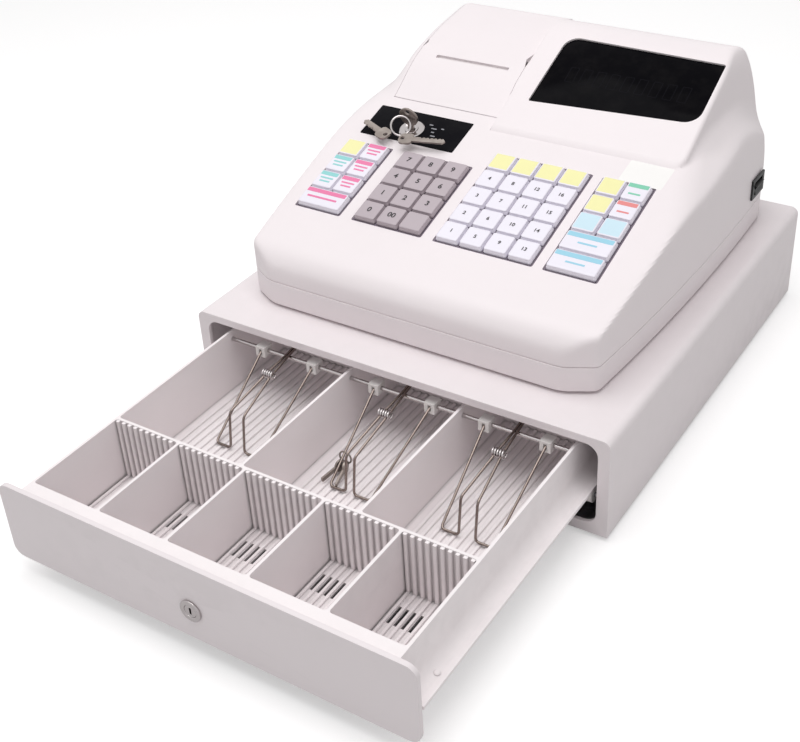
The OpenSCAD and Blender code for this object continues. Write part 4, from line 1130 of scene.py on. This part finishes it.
def key_cap(cells):
    """Points and faces of one key about its centre on the deck."""
    s = sizes()
    extra = (cells - 1) * s.key_pitch_x / 2
    base, top, rise = s.key_width / 2, s.key_top / 2, s.key_rise
    wide = base + s.key_flare / 2
    profile = [(base, -4 * MM, 1.2), (base, -0.4 * MM, 1.2), (wide, 0.1 * MM, 1.3),
               (wide - 0.1 * MM, 0.5 * MM, 1.3)]
    for k in range(1, 5):
        t = k / 5
        profile.append((wide + (top - wide) * t * (1.05 - 0.05 * t), 0.5 * MM + (rise - 1.1 * MM) * t, 1.4))
    profile += [(top + 0.2 * MM, rise - 0.45 * MM, 1.5), (top - 0.15 * MM, rise - 0.12 * MM, 1.5),
                (top - PRINT_INSET * MM, rise, 1.5)]
    for share in (0.8, 0.55, 0.25):
        sunk = rise - s.key_dish * (1 - share * share)
        profile.append(((top - PRINT_INSET * MM) * share, sunk, 1.5 * share))
    rings = []
    for half, height, corner in profile:
        outline = rectangle(-half - extra, -half, half + extra, half, corner * MM, CAP_DETAIL)
        rings.append([(p.x, p.y, height) for p in outline])
    return ring_loft(rings)


def key_frame(field, column, row, cells=1, out=0.0):
    """Frame at the middle of a key."""
    s = sizes()
    x = FIELD_LEFT[field] * MM + (column + cells / 2) * s.key_pitch_x
    return deck_frame(x, (row + 0.5) * s.key_pitch_y, out)


def build_keys(name, places, tint, node):
    """All keys of one node as one piece, each given as field, column, row and width in cells."""
    caps = []
    for field, column, row, cells in places:
        here = key_frame(field, column, row, cells)
        points, faces = key_cap(cells)
        caps.append(([here @ Vector(p) for p in points], faces))
    piece = add_mesh(name, *gather(caps))
    smooth(piece, 50)
    return place(piece, node + "_body", "Key " + tint, [node])


def figures(name, texts, node, height):
    """Flat figures on key tops, each given as text, field, column and row."""
    pieces = []
    for text, field, column, row in texts:
        curve = bpy.data.curves.new("figure", "FONT")
        curve.body = text
        curve.size = height * 1.38
        curve.align_x, curve.align_y = "CENTER", "CENTER"
        curve.extrude = 0.04 * MM
        curve.offset = height * 0.025
        source = add_object("figure", curve)
        piece = add_object("figure", bpy.data.meshes.new_from_object(source))
        bpy.data.objects.remove(source)
        piece.data.transform(key_frame(field, column, row, out=sizes().key_rise + 0.05 * MM))
        pieces.append(piece)
    return place(merged(name, pieces), node + "_body", "Figure ink")


def prints(name, bars, node, tint):
    """Printed bars on key tops, each as field, column, row, cells and two corners as shares of the top."""
    pieces = []
    half = sizes().key_top / 2 - PRINT_INSET * MM
    low_face, high_face = sizes().key_rise - 0.3 * MM, sizes().key_rise + 0.03 * MM
    for field, column, row, cells, low, high in bars:
        wide = half + (cells - 1) * sizes().key_pitch_x / 2
        (x0, y0), (x1, y1) = ((2 * share_x - 1, 2 * share_y - 1) for share_x, share_y in (low, high))
        outline = rectangle(x0 * wide, y0 * half, x1 * wide, y1 * half, 0.2 * MM, 2)
        pieces.append(plate("bar", outline, low_face, high_face, key_frame(field, column, row, cells)))
    return place(merged(name, pieces), node + "_body", "Print " + tint)


def column_of_keys(field, column, rows):
    return [(field, column, row, 1) for row in rows]


def row_of_keys(field, row, columns):
    return [(field, column, row, 1) for column in range(columns)]


KEY_NODES = [
    ("left_keys_outer", column_of_keys(0, 0, (1, 2, 3)), "white"),
    ("left_keys_inner", column_of_keys(0, 1, (1, 2, 3)), "white"),
    ("left_wide_key", [(0, 0, 0, 2)], "white"),
    ("number_keys_789", row_of_keys(1, 3, 3), "grey"),
    ("number_keys_456", row_of_keys(1, 2, 3), "grey"),
    ("number_keys_123", row_of_keys(1, 1, 3), "grey"),
    ("number_keys_0", row_of_keys(1, 0, 3), "grey"),
    *(("department_keys_%d" % (row + 1), row_of_keys(2, row, 4), "white") for row in range(5)),
    ("right_keys_outer", column_of_keys(3, 1, (2, 3, 4)), "white"),
    ("right_keys_inner", column_of_keys(3, 0, (2, 3, 4)), "white"),
    ("right_wide_key_front", [(3, 0, 0, 2)], "white"),
    ("right_wide_key_rear", [(3, 0, 1, 2)], "white"),
]

# Bars as low and high corner, in shares of a key's top.
WHOLE = ((0.0, 0.0), (1.0, 1.0))
STRIP, LINE_HIGH, LINE_LOW = ((0.0, 0.74), (1.0, 1.0)), ((0.12, 0.5), (0.88, 0.6)), ((0.2, 0.26), (0.8, 0.36))
THREE_BARS = [STRIP, LINE_HIGH, LINE_LOW]
WIDE_LINE = ((0.1, 0.38), (0.86, 0.5))
BLUE_STRIP, BLUE_LINE = ((0.0, 0.72), (1.0, 1.0)), ((0.3, 0.36), (0.72, 0.46))

# Coloured prints as name, node, colour, the keys they are on and their bars.
KEY_PRINTS = (
    ("department_keys_5_labels", "department_keys_5", "yellow", row_of_keys(2, 4, 4), [WHOLE]),
    ("left_yellow_label", "left_keys_outer", "yellow", [(0, 0, 3, 1)], [WHOLE]),
    ("left_teal_labels", "left_keys_outer", "teal", column_of_keys(0, 0, (1, 2)), THREE_BARS),
    ("left_pink_labels", "left_keys_inner", "pink", column_of_keys(0, 1, (1, 2, 3)), THREE_BARS),
    ("left_wide_label", "left_wide_key", "pink", [(0, 0, 0, 2)], [STRIP, WIDE_LINE]),
    ("right_yellow_labels", "right_keys_inner", "yellow", column_of_keys(3, 0, (4, 3)), [WHOLE]),
    ("right_pale_inner", "right_keys_inner", "pale", [(3, 0, 2, 1)], [WHOLE]),
    ("right_green_label", "right_keys_outer", "green", [(3, 1, 4, 1)], [STRIP, LINE_LOW]),
    ("right_red_mark", "right_keys_outer", "red", [(3, 1, 3, 1)], [STRIP, LINE_LOW]),
    ("right_pale_outer", "right_keys_outer", "pale", [(3, 1, 2, 1)], [WHOLE]),
    ("right_wide_key_front_label", "right_wide_key_front", "blue", [(3, 0, 0, 2)], [BLUE_STRIP, BLUE_LINE]),
    ("right_wide_key_rear_label", "right_wide_key_rear", "blue", [(3, 0, 1, 2)], [BLUE_STRIP, BLUE_LINE]),
)


class RegisterKeys(Operator):
    """All keys with their figures and printed bars, and the frame that guides them"""
    bl_idname = "register.keys"
    bl_label = "Keys"

    def execute(self, context):
        for node, places, tint in KEY_NODES:
            build_keys(node + "_caps", places, tint, node)
        tall, small = sizes().figure_height, sizes().small_figure
        for texts, row in (("789", 3), ("456", 2), ("123", 1)):
            node = "number_keys_" + texts
            texts = [(text, 1, column, row) for column, text in enumerate(texts)]
            figures(node + "_figures", texts, node, tall)
        figures("number_keys_0_figures", [("0", 1, 0, 0), ("00", 1, 1, 0)], "number_keys_0", tall)
        for row in range(4):
            node = "department_keys_%d" % (row + 1)
            texts = [(str(4 * column + row + 1), 2, column, row) for column in range(4)]
            figures(node + "_figures", texts, node, small)
        for name, node, tint, keys, bars in KEY_PRINTS:
            prints(name, [(*key, *bar) for key in keys for bar in bars], node, tint)
        refinish("Frame plastic", "key_frame")
        return {"FINISHED"}


class RegisterPrinter(Operator):
    """Printer parts under the cover, and the main board"""
    bl_idname = "register.printer"
    bl_label = "Printer parts"

    def execute(self, context):
        dress("printer_frame", "printer_side_plates", 0.3 * MM, "cabinet", "Plated steel")
        refinish("Black plastic", "print_head")
        refinish("Rubber", "platen_roller")
        refinish("Paper", "paper_roll")
        refinish("Circuit board", "circuit_boards")
        return {"FINISHED"}


class RegisterSwitch(Operator):
    """Power switch on the right side"""
    bl_idname = "register.switch"
    bl_label = "Power switch"

    def execute(self, context):
        dress("power_switch", "power_switch_housing", 0.5 * MM, "cabinet", "Black plastic")
        dress("switch_rocker", "switch_rocker_cap", 0.6 * MM, "rocker", "Black plastic", 3)
        return {"FINISHED"}


# ---- Cabinet ----

# Millimetres across and up, and radius and height.
REAR_SCREWS = ((-150, 70), (0, 70), (150, 70), (-150, 26), (150, 26))
SCREW_HEAD = ((0, -0.3), (3.2, -0.3), (3.2, 0.3), (2.7, 1.2), (1.6, 1.7), (0, 1.8))


class CabinetBody(Operator):
    """Painted cabinet, its base, feet and screws"""
    bl_idname = "register.cabinet"
    bl_label = "Cabinet"

    def execute(self, context):
        dress("cabinet_shell", "cabinet_housing", drawer_sizes().steel_edge, "cabinet", "Cabinet paint",
              3, 40)
        refinish("Plated steel", "cabinet_base")
        dress("rubber_feet", "cabinet_feet", 0.6 * MM, "cabinet", "Rubber", 3)
        refinish("Plated steel", "foot_screws")
        heads = []
        for x, z in REAR_SCREWS:
            head = turned("head", SCREW_HEAD, sides=24)
            for wide, high in ((1.8, 0.35), (0.35, 1.8)):
                cut(head, block("cutter", mm(-wide, -high, 0.7), mm(wide, high, 3)))
            rear = Matrix.Translation((x * MM, CABINET_HIGH.y, z * MM))
            head.data.transform(rear @ Matrix.Rotation(math.radians(-90), 4, "X"))
            heads.append(head)
        place(merged("cabinet_rear_screws", heads), "cabinet", "Chrome")
        return {"FINISHED"}


class CabinetRunners(Operator):
    """Slide rails and rollers of the drawer"""
    bl_idname = "register.runners"
    bl_label = "Runners"

    def execute(self, context):
        dress("slide_rails", "drawer_rails", 0.25 * MM, "cabinet", "Plated steel")
        dress("front_rollers", "drawer_rollers", 0.5 * MM, "rollers", "Nylon", 3)
        return {"FINISHED"}


class CabinetLatch(Operator):
    """Latch with its solenoid at the rear of the cabinet"""
    bl_idname = "register.latch"
    bl_label = "Latch"

    def execute(self, context):
        for node, body, look, slot in (("latch_bracket", "cabinet", "Plated steel", "steel"),
                                       ("latch_hook", "latch", "Chrome", "chrome"),
                                       ("solenoid", "cabinet", "Copper coil", "coil"),
                                       ("solenoid_plunger", "plunger", "Chrome", "chrome"),
                                       ("drawer_striker", "drawer", "Plated steel", "steel")):
            dress(node, node + "_finished", 0.3 * MM, body, look)
        return {"FINISHED"}


# ---- Drawer ----

# Millimetres in the shared frame.
TRAY_X, TRAY_FRONT, TRAY_REAR = 140, -379.5, -83
TRAY_WALL = 2
TRAY_LOW, TRAY_FLOOR, TRAY_RIM = 18.5, 20, 67.3
COIN_FRONT, COIN_REAR, BILL_FRONT, BILL_REAR = -368, -292.5, -290.5, -115
REAR_POCKET_FRONT, REAR_POCKET_REAR = -113, -85
COIN_WALLS = (-139, -84, -29.5, 31.5, 87, 139)
BILL_WALLS = (-139, -34, 56, 139)
FLANGE_LOW, FLANGE_HIGH, FLANGE_FRONT = 33.5, 36, -375.5
SLOT_FRONT, SLOT_REAR, SLOT_HALF, SLOT_PITCH, SLOT_MIDDLE = -321.2, -306.2, 1.1, 5.1, 12.2
COVE_X, COVE_Z, COVE_RADIUS, COVE_STEPS = 148, 44, 8, 8
STUD_X, STUD_Y, STUD_Z = 146, -352, 35.9
FLOOR_RIB, BILL_RIB, WALL_RIB = 2.2, 2.6, 2.6       # widths
SIDES = ((-1, "left"), (1, "right"))


def bays(walls):
    """Compartments between the middles of walls that are 2 mm thick."""
    return [(a + 1, b - 1) for a, b in zip(walls, walls[1:])]


def pocket_cutter(x0, y0, x1, y1):
    return plate("cutter", rectangle(*mm(x0, y0, x1, y1, 2), 4), TRAY_FLOOR * MM, (TRAY_RIM + 1) * MM)


def rib(start, end, out, width, height):
    """Points and faces of a flat-topped rib between two points, standing out of a surface."""
    start, end, out = Vector(start), Vector(end), Vector(out)
    across = (end - start).normalized().cross(out)
    section = [(-1, -0.3), (1, -0.3), (1, 0), (0.92, height - 0.3), (0.7, height), (-0.7, height),
               (-0.92, height - 0.3), (-1, 0)]
    return ring_loft([[(here + across * (width / 2 * share) + out * high) * MM for share, high in section]
                      for here in (start, end)])


class DrawerTray(Operator):
    """Moulded tray of the drawer with its ribs"""
    bl_idname = "register.tray"
    bl_label = "Drawer tray"

    def execute(self, context):
        tray = block("drawer_tray_moulding", mm(-TRAY_X, TRAY_FRONT, TRAY_LOW), mm(TRAY_X, TRAY_REAR, TRAY_RIM))
        self.compartments(tray)
        self.coin_slots(tray)
        for side, _ in SIDES:
            x0, x1 = sorted((side * (TRAY_X - 1), side * (TRAY_X + 12)))
            join_on(tray, block("flange", mm(x0, FLANGE_FRONT, FLANGE_LOW), mm(x1, TRAY_REAR, FLANGE_HIGH)))
        low, high = (Vector(p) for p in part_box("clip_axle"))
        middle = (low + high) / 2
        cut(tray, rod("cutter", (low.x, middle.y, middle.z), (high.x, middle.y, middle.z), 1.5 * MM))
        smooth(tray)
        bevelled(tray, drawer_sizes().tray_edge)
        place(tray, "drawer", "Tray plastic", ["drawer_tray", "tray_flanges", "coin_floor"])
        for side, hand in SIDES:
            self.cove(side, hand)
        self.ribs()
        return {"FINISHED"}

    def compartments(self, tray):
        for x0, x1 in bays(COIN_WALLS):
            cut(tray, pocket_cutter(x0, COIN_FRONT, x1, COIN_REAR))
        for x0, x1 in bays(BILL_WALLS):
            cut(tray, pocket_cutter(x0, BILL_FRONT, x1, BILL_REAR))
        half = TRAY_X - TRAY_WALL
        cut(tray, pocket_cutter(-half, REAR_POCKET_FRONT, half, REAR_POCKET_REAR))
        cut(tray, block("cutter", mm(-half, TRAY_FRONT - 1, TRAY_LOW - 1),
                        mm(half, TRAY_FRONT + 9.5, TRAY_RIM - TRAY_WALL)))

    def coin_slots(self, tray):
        for x0, _ in bays(COIN_WALLS)[1:]:
            for k in (-1.5, -0.5, 0.5, 1.5):
                x = x0 + SLOT_MIDDLE + k * SLOT_PITCH
                cut(tray, block("cutter", mm(x - SLOT_HALF, SLOT_FRONT, TRAY_LOW - 1),
                                mm(x + SLOT_HALF, SLOT_REAR, TRAY_FLOOR + 1)))
            # Painted shade: a thin black sheet under each bay's slots makes them read dark, where there is only
            # shade below the floor.
            outline = rectangle(*mm(x0 + 2, SLOT_FRONT - 2.8, x0 + 22.4, SLOT_REAR + 2.7, 1))
            painted_shade_sheet = plate("coin_slot_backing", outline, (TRAY_LOW - 0.6) * MM, (TRAY_LOW - 0.05) * MM,
                            edge=0.1 * MM)
            place(painted_shade_sheet, "drawer", "Black plastic")

    def cove(self, side, hand):
        """Hollow rounding between the tray's side and its flange, and the stop stud on the flange."""
        profile = [(TRAY_X - 0.5, FLANGE_HIGH - 0.2), (TRAY_X - 0.5, COVE_Z)]
        for k in range(COVE_STEPS, -1, -1):
            turn = math.pi / 2 * k / COVE_STEPS
            profile.append((COVE_X - COVE_RADIUS * math.sin(turn), COVE_Z - COVE_RADIUS * math.cos(turn)))
        profile.append((COVE_X, FLANGE_HIGH - 0.2))
        rings = [[mm(side * x, y, z) for x, z in profile] for y in (FLANGE_FRONT + 0.5, TRAY_REAR - 0.5)]
        points, faces = ring_loft(rings)
        if side < 0:
            faces = [tuple(reversed(face)) for face in faces]
        cove = add_mesh("tray_cove_" + hand, points, faces)
        smooth(cove, 40)
        place(cove, "drawer", "Tray plastic")
        peg = turned("tray_stop_stud_" + hand, [(0, 0), (2, 0), (2, 0.9), (1.4, 1.5), (0, 1.7)],
                     Matrix.Translation(mm(side * STUD_X, STUD_Y, STUD_Z)), 24)
        place(peg, "drawer", "Tray plastic")

    def ribs(self):
        s = drawer_sizes()
        coin, bill, high, low = s.coin_rib / MM, s.bill_rib / MM, s.wall_rib / MM, s.rib_height / MM
        bars = []

        def floor_rib(x, front, rear, width):
            bars.append(rib((x, front + 1, TRAY_FLOOR), (x, rear - 1, TRAY_FLOOR), (0, 0, 1), width, low))

        for x0, x1 in bays(COIN_WALLS):
            x = x0 + 2
            while x < x1 - 1.5:
                for y, out, top in ((COIN_REAR, -1, TRAY_RIM - 0.3), (COIN_FRONT, 1, TRAY_RIM - 3)):
                    bars.append(rib((x, y, TRAY_FLOOR), (x, y, top), (0, out, 0), WALL_RIB, high))
                floor_rib(x, COIN_FRONT, COIN_REAR, FLOOR_RIB)
                x += coin
        for x0, x1 in bays(BILL_WALLS):
            count = int((x1 - x0 - 4) / bill)
            first = (x0 + x1) / 2 - (count - 1) * bill / 2
            for k in range(count):
                floor_rib(first + k * bill, BILL_FRONT, BILL_REAR, BILL_RIB)
        piece = add_mesh("drawer_tray_ribs", *gather(bars))
        smooth(piece, 50)
        place(piece, "drawer", "Tray plastic")


class DrawerFront(Operator):
    """Front plate of the drawer with its lock"""
    bl_idname = "register.drawer_front"
    bl_label = "Drawer front"

    def execute(self, context):
        dress("drawer_front", "drawer_front_plate", 0.8 * MM, "drawer", "Cabinet paint", 3, 40)
        dress("lock_barrel", "drawer_lock_barrel", 0.4 * MM, "drawer", "Chrome", 3)
        dress("lock_plug", "drawer_lock_plug", 0.25 * MM, "lock", "Chrome")
        dress("lock_cam", "drawer_lock_cam", 0.25 * MM, "lock", "Plated steel")
        return {"FINISHED"}


# Spring of a bill clip, in millimetres from the axle.
COIL_RADIUS, COIL_TURN_STEPS, COIL_TURNS, COIL_WIDTH, COIL_Y = 2.6, 8, 5, 9, -24


class DrawerClips(Operator):
    """Wire clips with their blocks and axle, and the keys that hang on the middle one"""
    bl_idname = "register.clips"
    bl_label = "Bill clips"

    def execute(self, context):
        low, high = (Vector(p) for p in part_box("clip_axle"))
        axle = (low + high) / 2
        for side in ("left", "middle", "right"):
            low, high = (Vector(p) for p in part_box("clip_blocks_" + side))
            origin = Vector(((low.x + high.x) / 2, axle.y, axle.z))
            for hand, sign in (("a", -1), ("b", 1)):
                bent = 5.5 if (side, hand) == ("middle", "b") else 0
                self.clip(side, hand, sign, bent, origin)
            self.coil(side, origin)
            dress("clip_blocks_" + side, "clip_pads_" + side, 0.8 * MM, "clip_" + side, "Nylon", 3)
        refinish("Chrome", "clip_axle")
        dress("drawer_keys", "drawer_key_bunch", 0.2 * MM, "clip_middle", "Key metal")
        return {"FINISHED"}

    def clip(self, side, hand, sign, bent, origin):
        """One wire of a clip, from its block down to the floor and back up to the axle."""
        s = drawer_sizes()
        floor = TRAY_FLOOR - origin.z / MM
        foot = floor + (s.wire + s.rib_height) / MM + 0.1
        corners = [(22.5, -3, 0), (19 - bent, -66, foot), (6 - bent, -66, foot), (6 - bent, -62, floor + 30.5),
                   (2.2, -24, -0.5), (1, 0, 2.7), (1, 8, 4.2)]
        path = [origin + Vector(mm(sign * x, y, z)) for x, y, z in corners]
        piece = tube("bill_clip_%s_%s" % (side, hand), path, s.wire, s.wire_bend)
        place(piece, "clip_" + side, "Spring steel", ["bill_clip_" + side])

    def coil(self, side, origin):
        path = []
        for k in range(COIL_TURNS * COIL_TURN_STEPS + 1):
            turn = math.tau * k / COIL_TURN_STEPS
            x = (k / (COIL_TURNS * COIL_TURN_STEPS) - 0.5) * COIL_WIDTH
            y, z = COIL_Y + COIL_RADIUS * math.cos(turn), COIL_RADIUS * math.sin(turn)
            path.append(origin + Vector(mm(x, y, z)))
        place(wire("clip_spring_" + side, path, 0.7 * MM), "clip_" + side, "Chrome")


# ---- Stage ----

SHEET = 30              # half length of the floor, in metres
LAMP_PLACE, LAMP_AIM, LAMP_SIZE = Vector((-0.06, -0.26, 1.3)), Vector((0, -0.1, 0.05)), (1.3, 0.9)
CAMERA_SHIFT = (-0.00075, -0.0384)
CAMERA_PLACE = (0.41891, -0.76471, 0.57652)
CAMERA_AXES = ((0.84105, 0.53865, -0.04994), (-0.26018, 0.48372, 0.83566), (0.47429, -0.68983, 0.54698))


class RegisterStage(Operator):
    """Floor, soft lights, white surroundings and the camera"""
    bl_idname = "register.stage"
    bl_label = "Stage"

    def execute(self, context):
        stage = context.scene.register_stage
        corners = [(x * SHEET, y * SHEET, 0) for x, y in ((-1, -1), (1, -1), (1, 1), (-1, 1))]
        floor = add_mesh("floor", corners, [(0, 1, 2, 3)])
        material, graph, shader = new_material("Floor")
        grain = graph.add("ShaderNodeTexNoise", {"Scale": 60.0, "Detail": 2.0}).outputs[0]
        tone = graph.mix(grain, darker(tuple(stage.floor), 0.985), tuple(stage.floor))
        graph.tree.links.new(tone, shader.inputs["Base Color"])
        shader.inputs["Roughness"].default_value = 0.9
        seen = graph.add("ShaderNodeLightPath").outputs["Is Camera Ray"]
        glow = graph.add("ShaderNodeEmission", {"Strength": graph.math("MULTIPLY", seen, stage.floor_glow)})
        both = graph.add("ShaderNodeAddShader", {0: shader.outputs[0], 1: glow.outputs[0]})
        ends = next(node for node in graph.tree.nodes if node.type == "OUTPUT_MATERIAL")
        graph.tree.links.new(both.outputs[0], ends.inputs["Surface"])
        floor.data.materials.append(material)
        self.surroundings(context, stage)
        self.light(stage)
        self.camera(context, stage)
        context.scene.view_settings.view_transform = "Standard"
        return {"FINISHED"}

    def surroundings(self, context, stage):
        world = bpy.data.worlds.new("Surroundings")
        context.scene.world = world
        world.use_nodes = True
        world.node_tree.nodes.clear()
        graph = Graph(world.node_tree)
        rays = graph.add("ShaderNodeLightPath").outputs
        seen = graph.math("MAXIMUM", rays["Is Camera Ray"],
                          graph.math("MAXIMUM", rays["Is Glossy Ray"], rays["Is Transmission Ray"]))
        strength = graph.range(seen, stage.sky, 1.0)
        sky = graph.add("ShaderNodeBackground", {"Color": (1, 1, 1, 1), "Strength": strength})
        graph.add("ShaderNodeOutputWorld", {"Surface": sky.outputs[0]})

    def light(self, stage):
        lamp = bpy.data.lights.new("top_light", "AREA")
        lamp.shape = "RECTANGLE"
        lamp.size, lamp.size_y = LAMP_SIZE
        lamp.energy = stage.top_power
        top = add_object("top_light", lamp)
        top.location = LAMP_PLACE
        top.rotation_euler = (LAMP_AIM - LAMP_PLACE).to_track_quat("-Z", "Y").to_euler()

    def camera(self, context, stage):
        data = bpy.data.cameras.new("camera")
        data.lens = stage.lens
        data.sensor_width = 36
        data.shift_x, data.shift_y = CAMERA_SHIFT
        data.clip_start = 0.01
        camera = add_object("camera", data)
        axes = Matrix([Vector(axis) for axis in CAMERA_AXES]).transposed().to_4x4()
        camera.matrix_world = Matrix.Translation(CAMERA_PLACE) @ axes
        context.scene.camera = camera


# ---- Sidebar ----

PIECES = (RegisterStage, RegisterUpperCase, RegisterPrinterCover, RegisterLowerCase, RegisterDisplay,
          RegisterSticker, RegisterModePanel, RegisterKeys, RegisterPrinter, RegisterSwitch, CabinetBody,
          CabinetRunners, CabinetLatch, DrawerTray, DrawerFront, DrawerClips)
GROUPS = (("register_sizes", RegisterSizes), ("drawer_sizes", DrawerSizes), ("register_colours", Colours),
          ("register_stage", StageSettings))


class RegisterPanel(Panel):
    """Lists the pieces of the register and their sizes and colours"""
    bl_idname = "VIEW3D_PT_ticket_register"
    bl_label = "Ticket Register"
    bl_space_type = "VIEW_3D"
    bl_region_type = "UI"
    bl_category = "Register"

    def draw(self, context):
        pieces = self.layout.column(align=True)
        for piece in PIECES:
            pieces.operator(piece.bl_idname)
        for attribute, group in GROUPS:
            values = self.layout.box().column()
            for name in group.__annotations__:
                values.prop(getattr(context.scene, attribute), name)


def register():
    for attribute, group in GROUPS:
        bpy.utils.register_class(group)
        setattr(bpy.types.Scene, attribute, PointerProperty(type=group))
    for cls in PIECES + (RegisterPanel,):
        bpy.utils.register_class(cls)


def unregister():
    for cls in reversed(PIECES + (RegisterPanel,)):
        bpy.utils.unregister_class(cls)
    for attribute, group in GROUPS:
        delattr(bpy.types.Scene, attribute)
        bpy.utils.unregister_class(group)


def main():
    register()
    for piece in PIECES:
        group, name = piece.bl_idname.split(".")
        getattr(getattr(bpy.ops, group), name)()


if __name__ == "__main__":
    main()
